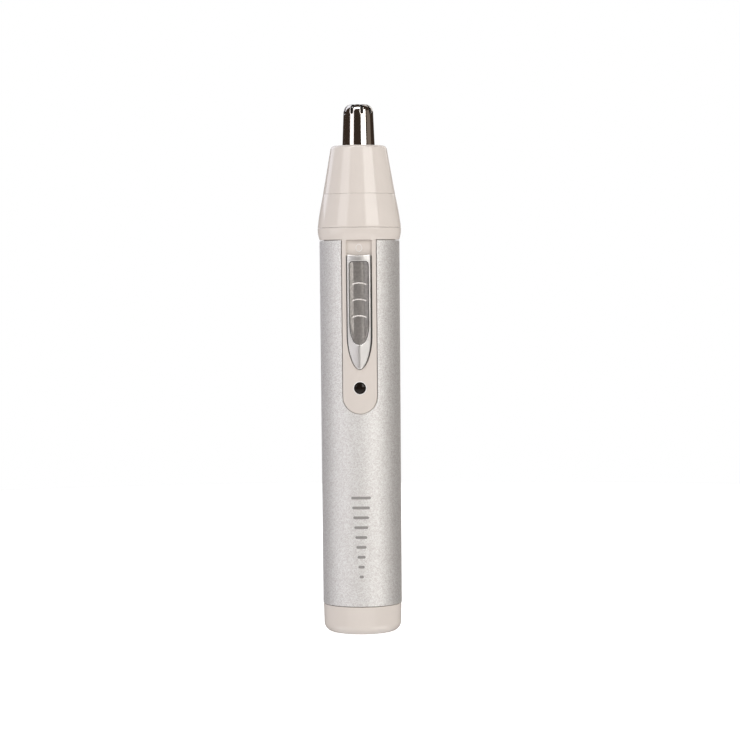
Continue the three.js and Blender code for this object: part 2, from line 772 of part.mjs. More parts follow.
function driveCoupling() {
  const flange = 4.3;
  const flangeTop = 113.6;
  const neck = 2.4;
  const neckTop = 116;
  const hub = turned([
    [0, Z_COUPLING_LOW],
    [flange, Z_COUPLING_LOW],
    [flange, flangeTop],
    [neck, flangeTop],
    [neck, neckTop],
    [0, neckTop],
  ], MEDIUM);
  const half = COUPLING_POST_HALF;
  const post = block([-half, half], [-half, half], [neckTop - 0.5, Z_COUPLING_HIGH]);
  const bore = cylinder(R_SHAFT_BORE, Z_COUPLING_LOW - 1, Z_SHAFT_HIGH + 0.3, BORE_FACETS);
  return hub.add(post).subtract(bore);
}

function bladeSpring() {
  class Helix extends THREE.Curve {
    getPoint(t, target = new THREE.Vector3()) {
      const a = t * SPRING_TURNS * 2 * Math.PI;
      const low = Z_SPRING_LOW + SPRING_WIRE;
      const rise = Z_SPRING_HIGH - Z_SPRING_LOW - 2 * SPRING_WIRE;
      return target.set(
        SPRING_RADIUS * Math.cos(a),
        SPRING_RADIUS * Math.sin(a),
        low + rise * t,
      );
    }
  }
  const stepsPerTurn = 10;
  const sides = 6;
  return swept(new Helix(), SPRING_WIRE, stepsPerTurn * SPRING_TURNS, sides);
}

// The carrier's square socket slides on the coupling's post, and its spindle holds the blade.
function bladeCarrier() {
  const flange = 4.1;
  const flangeTop = 119.2;
  const body = 3.3;
  const bodyTop = 127;
  const socketTop = 126;
  const chamfer = 1;
  const turnedBody = turned([
    [0, Z_CARRIER_LOW],
    [flange, Z_CARRIER_LOW],
    [flange, flangeTop],
    [body, flangeTop],
    [body, bodyTop - chamfer],
    [body - chamfer, bodyTop],
    [R_SPINDLE, bodyTop],
    [R_SPINDLE, Z_SPINDLE_TOP],
    [0, Z_SPINDLE_TOP],
  ], MEDIUM);
  const half = CARRIER_SOCKET_HALF;
  const socket = block([-half, half], [-half, half], [Z_CARRIER_LOW - 1, socketTop]);
  const slot = block(
    [-R_SPINDLE - 1, R_SPINDLE + 1],
    [-BLADE_SLOT_HALF, BLADE_SLOT_HALF],
    [Z_BLADE_LOW - 0.3, Z_SPINDLE_TOP + 1],
  );
  return turnedBody.subtract(socket).subtract(slot);
}

// A flat double-edged blade whose shoulders follow the inside of the cutter.
function rotorBlade() {
  const stemHalf = 2.4;
  const topHalf = 2;
  const wingLow = Z_BLADE_LOW + 2.2;
  const lean = 0.15;
  const bend = Z_BLADE_TOP - 0.5;
  const shape = new THREE.Shape();
  shape.moveTo(-stemHalf, Z_BLADE_LOW);
  shape.lineTo(stemHalf, Z_BLADE_LOW);
  shape.lineTo(BLADE_HALF, wingLow);
  shape.lineTo(BLADE_HALF, Z_BLADE_SHOULDER);
  shape.quadraticCurveTo(BLADE_HALF - lean, bend, topHalf, Z_BLADE_TOP);
  shape.lineTo(-topHalf, Z_BLADE_TOP);
  shape.quadraticCurveTo(lean - BLADE_HALF, bend, -BLADE_HALF, Z_BLADE_SHOULDER);
  shape.lineTo(-BLADE_HALF, wingLow);
  return panel(shape, BLADE_THICKNESS / 2, -BLADE_THICKNESS / 2, 5);
}

// ---------------------------------------------------------------- head

// The head's lower cone: a socket over the collar's spigot, and the spigot that the cone twists on.
function headBase() {
  const low = Z_COLLAR_TOP + GAP;
  const bore = R_SPIGOT + 0.3;
  const webLow = Z_COLLAR_TOP + SPIGOT_HEIGHT + 0.4;
  const webHigh = webLow + 1.2;
  const passage = 5.4; // clears the carrier's flange as the head lifts off
  const lugRadius = 7.95;
  const lugTop = Z_TWIST_SPIGOT_TOP - 0.5;
  const keyPlay = 0.3;
  const cone = turned([
    [bore, low],
    [R_BEAD, low],
    [11.27, 113.6],
    [10.94, 115.8],
    [10.55, 118],
    [R_SEAM + 0.05, Z_HEAD_SEAM],
    [R_TWIST_SPIGOT, Z_HEAD_SEAM],
    [R_TWIST_SPIGOT, Z_TWIST_SPIGOT_TOP],
    [R_TWIST_SPIGOT_BORE, Z_TWIST_SPIGOT_TOP],
    [R_TWIST_SPIGOT_BORE, webHigh],
    [passage, webHigh],
    [passage, webLow],
    [bore, webLow],
  ]);
  const pocket = TWIST_RIB_WIDTH + TWIST_TRAVEL + 2 * TWIST_PLAY;
  const pitch = 360 / TWIST_LUGS;
  const pocketStart = 90 - TWIST_RIB_WIDTH / 2 - TWIST_PLAY;
  const lugs = Array.from({ length: TWIST_LUGS }, (_, i) => {
    const centre = pocketStart + pocket + (pitch - pocket) / 2 + i * pitch;
    const lugLow = Z_HEAD_SEAM + 0.6;
    return ringSector(R_TWIST_SPIGOT - 0.2, lugRadius, centre, pitch - pocket, lugLow, lugTop);
  });
  const keywayTop = 114.3;
  const keyway = block([-1 - keyPlay, 1 + keyPlay], [R_KEY - 1, R_KEY + 0.25], [low - 1, keywayTop]);
  return joined(cone, ...lugs).subtract(keyway);
}

// A sealing ring in the spigot's groove.
function headSeal() {
  const ringRadius = 8.95;
  const section = 0.55;
  const height = 114.55;
  const sides = 6;
  const ring = new THREE.TorusGeometry(ringRadius, section, sides, MEDIUM);
  return solid(ring.translate(0, 0, height));
}

function headCap() {
  const low = Z_HEAD_SEAM + GAP;
  const mouth = R_CUTTER_ROOT + 0.25;
  const ceiling = Z_CUTTER_FLANGE + CUTTER_FLANGE + GAP;
  const socketTop = 125.6;
  const pocketLow = 127.2;
  const slope = 10; // degrees from the vertical
  const centreR = R_CONE_TOP - CONE_CORNER;
  const centreZ = Z_CONE_TOP - CONE_CORNER;
  const cornerArc = arc(centreR, centreZ, CONE_CORNER, CONE_CORNER, slope, 90, 4);
  const cone = turned([
    [R_TWIST_SOCKET, low],
    [R_SEAM - 0.05, low],
    ...cornerArc,
    [mouth, Z_CONE_TOP],
    [mouth, ceiling],
    [R_CONE_BORE, ceiling],
    [R_CONE_BORE, pocketLow],
    [R_TWIST_SOCKET, socketTop],
  ]);
  const ribInner = 7.75;
  const ribOuter = R_TWIST_SOCKET + 0.3;
  const ribLow = Z_HEAD_SEAM + 0.9;
  const ribHigh = Z_TWIST_SPIGOT_TOP - 0.6;
  const ribSet = Array.from({ length: TWIST_LUGS }, (_, i) => {
    const centre = 90 + (360 / TWIST_LUGS) * i;
    return ringSector(ribInner, ribOuter, centre, TWIST_RIB_WIDTH, ribLow, ribHigh);
  });
  return joined(cone, ...ribSet);
}

function outerCutter() {
  const flangeTop = Z_CUTTER_FLANGE + CUTTER_FLANGE;
  const shoulderR = R_CUTTER_SHOULDER - R_CUTTER_TOP;
  const shoulderZ = Z_TIP - Z_CUTTER_SHOULDER;
  const outside = arc(R_CUTTER_TOP, Z_CUTTER_SHOULDER, shoulderR, shoulderZ, 0, 90, 4);
  const inside = arc(
    R_CUTTER_TOP,
    Z_CUTTER_SHOULDER,
    shoulderR - CUTTER_WALL,
    shoulderZ - CUTTER_WALL,
    90,
    0,
    3,
  );
  const shell = turned([
    [R_CUTTER_ROOT - CUTTER_WALL, Z_CUTTER_FLANGE],
    [R_CUTTER_FLANGE, Z_CUTTER_FLANGE],
    [R_CUTTER_FLANGE, flangeTop],
    [R_CUTTER_ROOT, flangeTop],
    [R_CUTTER_ROOT, Z_CONE_TOP],
    ...outside,
    [R_CUTTER_HOLE, Z_TIP],
    [R_CUTTER_HOLE, Z_TIP - CUTTER_WALL],
    ...inside,
  ]);
  const slotHalf = CUTTER_SLOT_WIDTH / 2;
  const slots = Array.from({ length: CUTTER_SLOTS }, (_, i) => {
    const reach = [R_CUTTER_SLOT_END, R_CUTTER_ROOT + 1];
    const cut = block(reach, [-slotHalf, slotHalf], [CUTTER_SLOT_FOOT_Z, Z_TIP + 1]);
    const length = reach[1] - reach[0];
    const foot = new THREE.CylinderGeometry(slotHalf, slotHalf, length, 8).rotateZ(Math.PI / 2);
    const end = solid(foot.translate(R_CUTTER_SLOT_END + length / 2, 0, CUTTER_SLOT_FOOT_Z));
    const angle = CUTTER_SLOT_PHASE - 90 + (360 / CUTTER_SLOTS) * i;
    return turn(cut.add(end), angle);
  });
  return shell.subtract(joined(...slots));
}

// ---------------------------------------------------------------- leads

function lead(points) {
  const route = points.map(([x, y, z]) => new THREE.Vector3(x, y, z));
  const curve = new THREE.CatmullRomCurve3(route, false, "centripetal");
  const steps = 16;
  const sides = 6;
  return swept(curve, LEAD_RADIUS, steps, sides);
}

function chargeLead(side) {
  return lead([
    [0, side * 2.4, 11.2],
    [-3.6, side * 2, 11.8],
    [-LEAD_SIDE_X, side * 0.9, 14.5],
    [-LEAD_SIDE_X, side * 0.9, 36],
    [-LEAD_SIDE_X, side * 0.9, 57],
    [-4.6, -2.4 + side * 0.9, 62.5],
    [-2.6 + side * 0.9, LEAD_BOARD_Y, 66],
    [-2.6 + side * 0.9, LEAD_BOARD_Y, 69],
  ]);
}

function cellNegativeLead() {
  return lead([
    [LEAD_SIDE_X, 0, 15.2],
    [LEAD_SIDE_X, 0, 36],
    [LEAD_SIDE_X, 0, 57],
    [5, -3.2, 62.5],
    [3.4, LEAD_BOARD_Y, 66],
    [3.4, LEAD_BOARD_Y, 69],
  ]);
}

function cellPositiveLead() {
  return lead([
    [0.6, -3.4, 61.2],
    [0.9, -4, 62.4],
    [1.2, LEAD_BOARD_Y, 64.5],
    [1.2, LEAD_BOARD_Y, 68],
  ]);
}

function motorLead(side) {
  return lead([
    [side * 3, -0.9, 85.4],
    [side * 3, -1.6, 83.4],
    [side * 2.4, -3.6, 81.4],
    [side * 2, LEAD_BOARD_Y, 79.4],
    [side * 2, LEAD_BOARD_Y, 77],
  ]);
}

// ---------------------------------------------------------------- assembly

// Casing.
place("bottom_cap", bottomCap(), IVORY);
place("body_sleeve", bodySleeve(), SILVER);
place("inner_body_front", innerBodyFront(), IVORY);
place("inner_body_rear", innerBodyRear(), IVORY);
for (const [name, x] of [["body_screw_left", -BODY_SCREW_X], ["body_screw_right", BODY_SCREW_X]]) {
  const screw = panScrew(0.9, R_SCREW_HEAD, 8, 1).rotate([-90, 0, 0]);
  place(name, screw.translate([x, BODY_SCREW_SEAT_Y, BODY_SCREW_Z]), MOTOR_STEEL);
}

// Charging inlet, cell and circuit board.
place("charge_socket", chargeSocket(), BLACK_PLASTIC);
place("charge_pin", cylinder(0.65, 2.2, 10.9), NICKEL);
place("battery_cell", cell(), CELL_WRAP);
place("battery_tab_positive", block([-2, 2], [-2.6, 2.6], [60.2, 60.5]), NICKEL);
place("battery_tab_negative", block([-2, 7], [-1.5, 1.5], [14.2, 14.5]), NICKEL);
place(
  "circuit_board",
  block([-BOARD_HALF, BOARD_HALF], [BOARD_FRONT_Y, BOARD_BACK_Y], [BOARD_LOW_Z, BOARD_HIGH_Z]),
  BOARD_GREEN,
);
place("indicator_led", indicatorLed(), SMOKED);
place("charge_resistor", axialPart(0.55, 1.6, 72.4), BRASS);
place("charge_diode", axialPart(0.65, 1.4, 75.6), BLACK_PLASTIC);
place("switch_contact_common", block([-2, 2], [-6.62, -6.46], [85.5, 89.5]), BRASS);
place("switch_contact_on", block([-2, 2], [-6.62, -6.46], [93.2, 95.2]), BRASS);

// Switch.
place("switch_slider", switchSlider(), SLIDER_SILVER);
place("thumb_pad", thumbPad(), PAD_GREY);
place("switch_carriage", switchCarriage(), BLACK_PLASTIC);
place("switch_wiper", block([-2, 2], [-6.94, -6.72], [84, 92]), COPPER);

// Motor.
place("motor_can", motorCan(), MOTOR_STEEL);
place("motor_end_bell", motorEndBell(), BLACK_PLASTIC);
place("motor_bush", tube(R_SHAFT_BORE, R_MOTOR_BUSH, 107.4, 110.2, BORE_FACETS), BRASS);
for (const [name, side] of [["left", -1], ["right", 1]]) {
  place(`motor_magnet_${name}`, motorMagnet(side), MAGNET);
  const brushX = [side * 2.15, side * 2.4].sort((a, b) => a - b);
  place(`motor_brush_${name}`, block(brushX, [-0.6, 0.6], [90.2, 92.8]), COPPER);
  const terminalX = [side * 2.6, side * 3.4].sort((a, b) => a - b);
  place(`motor_terminal_${name}`, block(terminalX, [-0.2, 0.2], [84.5, 86.7]), NICKEL);
  const screw = panScrew(0.75, R_SCREW_HEAD, 2.9, 0.9);
  place(`motor_screw_${name}`, screw.translate([side * MOTOR_SCREW_X, 0, 111.3]), MOTOR_STEEL);
}

// Drive train.
place("motor_shaft", cylinder(R_SHAFT, Z_SHAFT_LOW, Z_SHAFT_HIGH, BORE_FACETS), BLADE_STEEL);
place("armature_core", armatureCore(), MOTOR_STEEL);
for (let i = 0; i < ARMATURE_POLES; i += 1) {
  place(`armature_coil_${i + 1}`, armatureCoil(i), COPPER);
}
place("commutator", tube(R_SHAFT_BORE, 2, 91, 93, BORE_FACETS), COPPER);
place("drive_coupling", driveCoupling(), NYLON);
place("blade_spring", bladeSpring(), BLADE_STEEL);
place("blade_carrier", bladeCarrier(), NYLON);
place("rotor_blade", rotorBlade(), BLADE_STEEL);

// Head.
place("head_seal", headSeal(), RUBBER);
place("head_base", headBase(), IVORY);
place("head_cap", headCap(), IVORY);
place("outer_cutter", outerCutter(), STEEL);
place("cutter_retainer", tube(4.7, 6, 128.6, 131, FINE), NYLON);

// Leads.
place("lead_charge_positive", chargeLead(1), RED_LEAD);
place("lead_charge_negative", chargeLead(-1), BLACK_LEAD);
place("lead_cell_positive", cellPositiveLead(), RED_LEAD);
place("lead_cell_negative", cellNegativeLead(), BLACK_LEAD);
place("lead_motor_left", motorLead(-1), BLACK_LEAD);
place("lead_motor_right", motorLead(1), RED_LEAD);

export default trimmer;
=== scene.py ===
"""A pen-style nose hair trimmer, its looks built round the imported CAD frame.

Metres, +Z up along the trimmer, the switch facing -Y. The CAD part holds the sizes and the joints. Here each
visible piece gets a smooth mesh with rounded edges, each surface gets a procedural material, and the camera,
the lights and the floor are set up.
"""

import json
import math

import bmesh
import bpy
import numpy as np
from mathutils import Matrix, Quaternion, Vector
from mathutils.geometry import delaunay_2d_cdt


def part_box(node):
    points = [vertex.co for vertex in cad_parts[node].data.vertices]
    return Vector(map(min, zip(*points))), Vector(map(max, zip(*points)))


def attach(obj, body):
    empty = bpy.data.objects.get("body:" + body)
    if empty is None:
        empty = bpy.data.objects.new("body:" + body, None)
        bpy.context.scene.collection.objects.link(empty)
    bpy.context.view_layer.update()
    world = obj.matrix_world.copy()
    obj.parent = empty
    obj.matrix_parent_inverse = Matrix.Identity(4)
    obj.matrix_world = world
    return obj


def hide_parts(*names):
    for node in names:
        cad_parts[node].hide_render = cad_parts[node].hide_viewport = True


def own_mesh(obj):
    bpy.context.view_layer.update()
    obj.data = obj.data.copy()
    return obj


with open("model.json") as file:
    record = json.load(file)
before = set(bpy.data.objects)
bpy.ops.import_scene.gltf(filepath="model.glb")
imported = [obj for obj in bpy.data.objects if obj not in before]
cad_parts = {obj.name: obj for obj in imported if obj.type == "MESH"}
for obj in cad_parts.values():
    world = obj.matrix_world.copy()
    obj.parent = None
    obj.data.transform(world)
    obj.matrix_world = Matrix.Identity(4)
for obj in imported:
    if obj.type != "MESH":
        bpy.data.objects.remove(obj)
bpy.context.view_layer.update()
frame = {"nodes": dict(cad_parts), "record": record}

# ---- sizes, in metres

EDGE = 0.00012  # rounding of a moulded edge
SHARP = 0.00005  # rounding of a hidden edge
SOFT = 0.0003  # rounding of a soft corner
ROUND = 0.0002  # rounding of an edge that a thumb or a tool meets
COARSE = (0.001, 0.001)  # mesh spacing of a plain hidden sheet
PLAIN = (0.0008, 0.0008)  # mesh spacing of a flat sheet that shows
PLAIN_STEP = 0.0005  # and of its outline
OUTLINE_STEP = 0.00025  # mesh spacing along the outlines of the slider and its pad
WELD = 1e-7
SHARP_ANGLE = math.radians(40)  # edges sharper than this stay sharp
GRID = 1000  # the planar mesher works in millimetres

R_CAP = 0.0108
R_SLEEVE_LOW = 0.0109
R_SLEEVE_HIGH = 0.01105
SLEEVE_WALL = 0.0009
SLEEVE_LOW_Z = 0.0079
SLEEVE_HIGH_Z = 0.108
R_INNER = 0.0099
R_INNER_BORE = 0.0087
R_TONGUE = 0.01098
TONGUE_WALL = 0.0013
TONGUE_HALF = 0.00465
TONGUE_END_Z = 0.0607
R_BEAD = 0.01155
COLLAR_LOW_Z = 0.1082
COLLAR_TOP_Z = 0.11149
BEAD_Z = 0.1109  # where the collar is widest
BEAD_REACH = 0.0027
BEAD_SOFTENING = 0.00025

CHANNEL_HALF = 0.0035
CHANNEL_TIP_Z = 0.07272
CHANNEL_TOP_Z = 0.10808
CHANNEL_FLOOR_Y = -0.00975
NUMERAL_Z = 0.1059
NUMERAL_HALF = 0.0009
NUMERAL_RISE = 0.0011
NUMERAL_HEIGHT = 0.00012
LED_Z = 0.0677
LED_HOLE_RADIUS = 0.00187
LED_RADIUS = 0.00162

MARK_BARS = 9
MARK_TOP_Z = 0.0377
MARK_PITCH = 0.0027
MARK_HALF = 0.0027
MARK_LINE = 0.00075

SLIDER_HALF = 0.0032
SLIDER_TOP_Z = 0.1041
SLIDER_TIP_Z = 0.0729
SLIDER_BACK_Y = -0.00995
SLIDER_FRONT_Y = -0.0118
SLIDER_CROWN = 0.0076  # the radius of its face across
TAIL_START_Z = 0.0885  # from here down the slider's crown turns into a keel
TAIL_BLEND = 0.009  # the height that this takes
KEEL_SLOPE = 0.42  # the tail's two sides fall away from a rounded keel
KEEL_ROUND = 0.0004
SHADE_PLATE_Y = -0.0105  # the face of the black plate under the slider, painted shade that darkens the gap round it
SHADE_PLATE_GAP = 0.0001
SLIDER_SHIFT = -0.00005  # the slider lies a little to the left in its channel
STEM_HALF = 0.0009  # the stem behind the slider, which goes through a slot in the channel's floor
STEM_LOW_Z = 0.086
STEM_HIGH_Z = 0.09
STEM_BACK_Y = -0.0075
STEM_PLAY = 0.0003
SLIDE_TRAVEL = 0.0038
PAD_HALF = 0.00268
PAD_TOP_Z = 0.1023
PAD_TIP_Z = 0.0795
PAD_RIM = 0.00008  # how far the pad's edge lies below the slider's face
PAD_SINK = 0.0007  # how much deeper its flat middle lies
PAD_FLAT = 0.0013  # half the width of that middle
PAD_SLOPE = 0.62  # how steeply the pad's sides rise from it
PAD_ROUND = 0.0002
PAD_RUNOUT = 0.0075  # the height over which the lower end comes up towards the edge
PAD_LIFT = 0.5  # the share of its depth that it loses there
GROOVE_TOP_Z = 0.0967  # the top of the first of the pad's arched grooves
GROOVE_PITCH = 0.00447
GROOVE_COUNT = 3
GROOVE_HALF = 0.0021
GROOVE_ARCH = 110  # how fast the arch falls with the square of the distance from its top
GROOVE_RISE = 0.0002  # the steep upper wall of a groove
GROOVE_FALL = 0.0005  # and its gentle lower wall
GROOVE_DEPTH = 0.0003
GROOVE_FADE = 0.0003  # the length over which its ends run out

HEAD_LOW_Z = 0.11155
HEAD_SEAM_Z = 0.12078
SEAM_GAP = 0.00003
SEAM_EDGE = 0.00006
CONE_TOP_Z = 0.1341
R_SEAM = 0.01
R_CONE_TOP = 0.00765
CONE_CORNER = 0.001

TIP_ROOT_Z = 0.1321
TIP_Z = 0.14545
TIP_SHOULDER_Z = 0.1432
R_TIP_ROOT = 0.00457
R_TIP_SHOULDER = 0.00413
R_TIP_TOP = 0.0022
TIP_WALL = 0.00045
TIP_FLANGE_Z = 0.1312
R_TIP_FLANGE = 0.0059
TIP_HOLE = 0.0006
TIP_SLOTS = 9
TIP_SLOT_HALF = 0.00042
TIP_SLOT_FOOT_Z = 0.1432
TIP_SLOT_END_R = 0.0016
TIP_SLOT_PHASE = math.radians(14.7)
TIP_STEPS = 24  # mesh steps up the tip's wall, and again over its shoulder

# ---- small helpers


def smooth(t):
    """0 below 0, 1 above 1, and a smooth step between."""
    t = min(max(t, 0.0), 1.0)
    return t * t * (3 - 2 * t)


def node_body(node):
    bodies = frame["record"]["behaviour"]["bodies"]
    return next(body for body, nodes in bodies.items() if node in nodes)


def node_slot(node):
    subparts = frame["record"]["subparts"]
    return next(part["material_slot"] for part in subparts if part["node"] == node)


def piece(name, build, node=None, material=None, body=None, slot=None):
    """An object of the trimmer, made of a bmesh.

    It stands for a CAD node, rides on its body and has its slot's finish. A piece of no node names these.
    """
    made = bpy.data.objects.new(name, mesh_of(name, build))
    bpy.context.scene.collection.objects.link(made)
    slot = slot or node_slot(node)
    made.data.materials.append(material or FINISHES[slot])
    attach(made, body or node_body(node))
    if node:
        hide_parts(node)
    return made


def heights(node):
    """The lowest and the highest z of a CAD node."""
    low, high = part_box(node)
    return low.z, high.z


def mesh_of(name, build):
    """The finished mesh of a bmesh: welded, facing out, smooth but for its sharp edges."""
    bmesh.ops.remove_doubles(build, verts=build.verts, dist=WELD)
    bmesh.ops.dissolve_degenerate(build, edges=build.edges, dist=WELD)
    bmesh.ops.recalc_face_normals(build, faces=build.faces)
    mesh = bpy.data.meshes.new(name)
    build.to_mesh(mesh)
    build.free()
    mesh.shade_smooth()
    mesh.set_sharp_from_angle(angle=SHARP_ANGLE)
    return mesh


def weigh_normals(made):
    """Keeps wide faces flat beside narrow rounded edges."""
    modifier = made.modifiers.new("weighted_normals", "WEIGHTED_NORMAL")
    modifier.keep_sharp = True
    modifier.weight = 70
    return made


# ---- turned pieces


def filleted(corners, steps=4):
    """A closed outline of (radius, z, fillet) corners as points, each corner rounded to its fillet."""
    nearly_straight = math.radians(88)
    points = []
    count = len(corners)
    for i, (r, z, fillet) in enumerate(corners):
        here = Vector((r, z))
        before = (Vector(corners[i - 1][:2]) - here).normalized()
        after = (Vector(corners[(i + 1) % count][:2]) - here).normalized()
        half = before.angle(after, math.pi) / 2
        if fillet == 0 or half > nearly_straight:
            points.append(here)
            continue
        start = here + before * fillet / math.tan(half)
        centre = here + (before + after).normalized() * fillet / math.sin(half)
        end = here + after * fillet / math.tan(half)
        turn = (start - centre).angle_signed(end - centre)
        for k in range(steps + 1):
            spoke = start - centre
            spoke.rotate(Matrix.Rotation(-turn * k / steps, 2))
            points.append(centre + spoke)
    return points


def lathe(build, points, segments=128):
    """A closed (radius, z) outline turned about +Z into a bmesh."""
    rings = []
    for k in range(segments):
        a = 2 * math.pi * k / segments
        rings.append([build.verts.new((p.x * math.cos(a), p.x * math.sin(a), p.y)) for p in points])
    count = len(points)
    for k, ring in enumerate(rings):
        following = rings[(k + 1) % segments]
        for i in range(count):
            j = (i + 1) % count
            if points[i].x > 1e-9 or points[j].x > 1e-9:
                build.faces.new((ring[i], ring[j], following[j], following[i]))


def turned(corners, segments=128, steps=4):
    build = bmesh.new()
    lathe(build, filleted(corners, steps), segments)
    return build


# ---- sheet pieces


def densified(points, spacing, closed=True):
    """A chain of (u, v) points with each long side divided."""
    dense = []
    last = len(points) if closed else len(points) - 1
    for i in range(last):
        a = Vector(points[i])
        b = Vector(points[(i + 1) % len(points)])
        parts = max(1, round((b - a).length / spacing))
        dense.extend(a.lerp(b, k / parts) for k in range(parts))
    if not closed:
        dense.append(Vector(points[-1]))
    return dense


def offset_chain(points, distance, closed):
    """The chain moved to its left by a distance, with mitred corners."""
    least_cosine = 0.5  # so that no mitre runs far out
    moved = []
    count = len(points)
    for i, point in enumerate(points):
        normals = []
        if closed or i > 0:
            edge = (point - points[i - 1]).normalized()
            normals.append(Vector((-edge.y, edge.x)))
        if closed or i + 1 < count:
            edge = (points[(i + 1) % count] - point).normalized()
            normals.append(Vector((-edge.y, edge.x)))
        normal = sum(normals, Vector((0, 0))).normalized()
        moved.append(point + normal * distance / max(normal.dot(normals[0]), least_cosine))
    return moved


def inside(points, polygon):
    """Which of an array of points lie inside a closed polygon."""
    result = np.zeros(len(points), bool)
    x, y = points[:, 0], points[:, 1]
    for (ax, ay), (bx, by) in zip(polygon, np.roll(polygon, -1, 0)):
        if ay != by:
            crosses = (ay > y) != (by > y)
            result ^= crosses & (x < (bx - ax) * (y - ay) / (by - ay) + ax)
    return result


def clear_of(points, polygon, distance):
    """Which points keep a distance from every side of a polygon."""
    result = np.ones(len(points), bool)
    for a, b in zip(polygon, np.roll(polygon, -1, 0)):
        side = b - a
        t = np.clip(((points - a) @ side) / max(side @ side, 1e-12), 0, 1)
        result &= np.linalg.norm(points - a - t[:, None] * side, axis=1) > distance
    return result


def planar_mesh(polygon, holes, spacing, clearance=0.45):
    """Points and triangles that fill a polygon round its holes, finer than the spacing (u, v).

    The points inside keep the clearance, a share of the spacing, from the outlines.
    """
    outlines = [np.array([tuple(p) for p in loop]) * GRID for loop in [polygon, *holes]]
    step = np.array(spacing) * GRID
    low = outlines[0].min(0)
    counts = np.ceil((outlines[0].max(0) - low) / step).astype(int)
    step = (outlines[0].max(0) - low) / counts
    axes = [low[k] + step[k] * np.arange(1, counts[k]) for k in (0, 1)]
    grid = np.stack(np.meshgrid(*axes, indexing="ij"), -1).reshape(-1, 2)
    keep = inside(grid, outlines[0])
    for k, outline in enumerate(outlines):
        if k:
            keep &= ~inside(grid, outline)
        keep &= clear_of(grid, outline, clearance * min(step))
    points = list(map(tuple, np.concatenate([*outlines, grid[keep]])))
    edges = []
    start = 0
    for outline in outlines:
        count = len(outline)
        edges.extend((start + i, start + (i + 1) % count) for i in range(count))
        start += count
    made = delaunay_2d_cdt([Vector(p) for p in points], edges, [], 0, 1e-6)
    verts = np.array([tuple(v) for v in made[0]])
    faces = [list(f) for f in made[2]]
    centres = np.array([verts[f].mean(0) for f in faces])
    keep = inside(centres, outlines[0])
    for outline in outlines[1:]:
        keep &= ~inside(centres, outline)
    return verts / GRID, [f for f, kept in zip(faces, keep) if kept]


def rounded_rim(fillet, thickness, steps=4):
    """(inset, depth) pairs down a sheet's rim, rounded at the face and chamfered at the back."""
    rim = []
    for k in range(steps + 1):
        a = math.pi / 2 * k / steps
        rim.append((fillet * (1 - math.sin(a)), fillet * (1 - math.cos(a))))
    rim.append((0.0, thickness - fillet))
    rim.append((fillet, thickness))
    return rim


def sheet(build, chains, holes, spacing, thickness, fillet, place, wraps=False, hole_fillet=None, inner=0):
    """A sheet of even thickness with rounded rims, laid on a surface by place(u, v, depth).

    Its back and the walls of its rims get the inner material index.

    Chains keep the material on their left. A sheet that wraps round the axis has a lower chain from its left
    seam to its right one and an upper chain back. Any other has one closed chain. Holes are closed chains.
    """
    face_steps = 3  # steps down the rim that keep the face's material
    rims = [(chain, fillet, not wraps) for chain in chains]
    rims += [(hole, hole_fillet or fillet, True) for hole in holes]
    faces_of_rims = [offset_chain(chain, size, closed) for chain, size, closed in rims]
    if wraps:
        lower, upper = faces_of_rims[:2]
        right = densified([lower[-1], upper[0]], spacing[1], False)[1:-1]
        left = [Vector((lower[0].x, p.y)) for p in reversed(right)]
        polygon = [*lower, *right, *upper, *left]
        hole_loops = faces_of_rims[2:]
    else:
        polygon = faces_of_rims[0]
        hole_loops = faces_of_rims[1:]
    points, triangles = planar_mesh(polygon, hole_loops, spacing)
    for depth, flip in ((0.0, False), (thickness, True)):
        verts = [build.verts.new(place(u, v, depth)) for u, v in points]
        for triangle in triangles:
            corners = [verts[i] for i in triangle]
            face = build.faces.new(reversed(corners) if flip else corners)
            face.material_index = inner if flip else 0
    for chain, size, closed in rims:
        rows = []
        for inset, depth in rounded_rim(size, thickness):
            row = offset_chain(chain, inset, closed)
            rows.append([build.verts.new(place(p.x, p.y, depth)) for p in row])
        count = len(chain)
        for step, (upper_row, lower_row) in enumerate(zip(rows, rows[1:])):
            for i in range(count if closed else count - 1):
                j = (i + 1) % count
                face = build.faces.new((upper_row[i], lower_row[i], lower_row[j], upper_row[j]))
                face.material_index = inner if step >= face_steps else 0


def ellipse(centre_u, centre_v, across, up, count=48):
    """A closed outline, clockwise if its half height is negative."""
    angles = [2 * math.pi * k / count for k in range(count)]
    return [Vector((centre_u + across * math.cos(a), centre_v + up * math.sin(a))) for a in angles]


def unrolled(points, radius):
    """(x, z) points seen from the front as (arc length, z) points on a cylinder."""
    return [Vector((radius * math.asin(p.x / radius), p.y)) for p in points]


# ---- outlines in (x, z), counter-clockwise


def tongue_side(half, top, bottom, arc_steps=28):
    """Down the left side of the tongue, round its end and up its right side."""
    centre = bottom + half
    angles = [math.pi + math.pi * k / arc_steps for k in range(arc_steps + 1)]
    arc = [Vector((half * math.cos(a), centre + half * math.sin(a))) for a in angles]
    return [Vector((-half, top)), *arc, Vector((half, top))]


def box_outline(half, low, high):
    return [Vector(p) for p in ((-half, low), (half, low), (half, high), (-half, high))]


def bezier(a, b, c, d, steps):
    points = []
    for k in range(steps):
        t = k / steps
        points.append(a * (1 - t) ** 3 + b * 3 * t * (1 - t) ** 2 + c * 3 * t * t * (1 - t) + d * t**3)
    return points


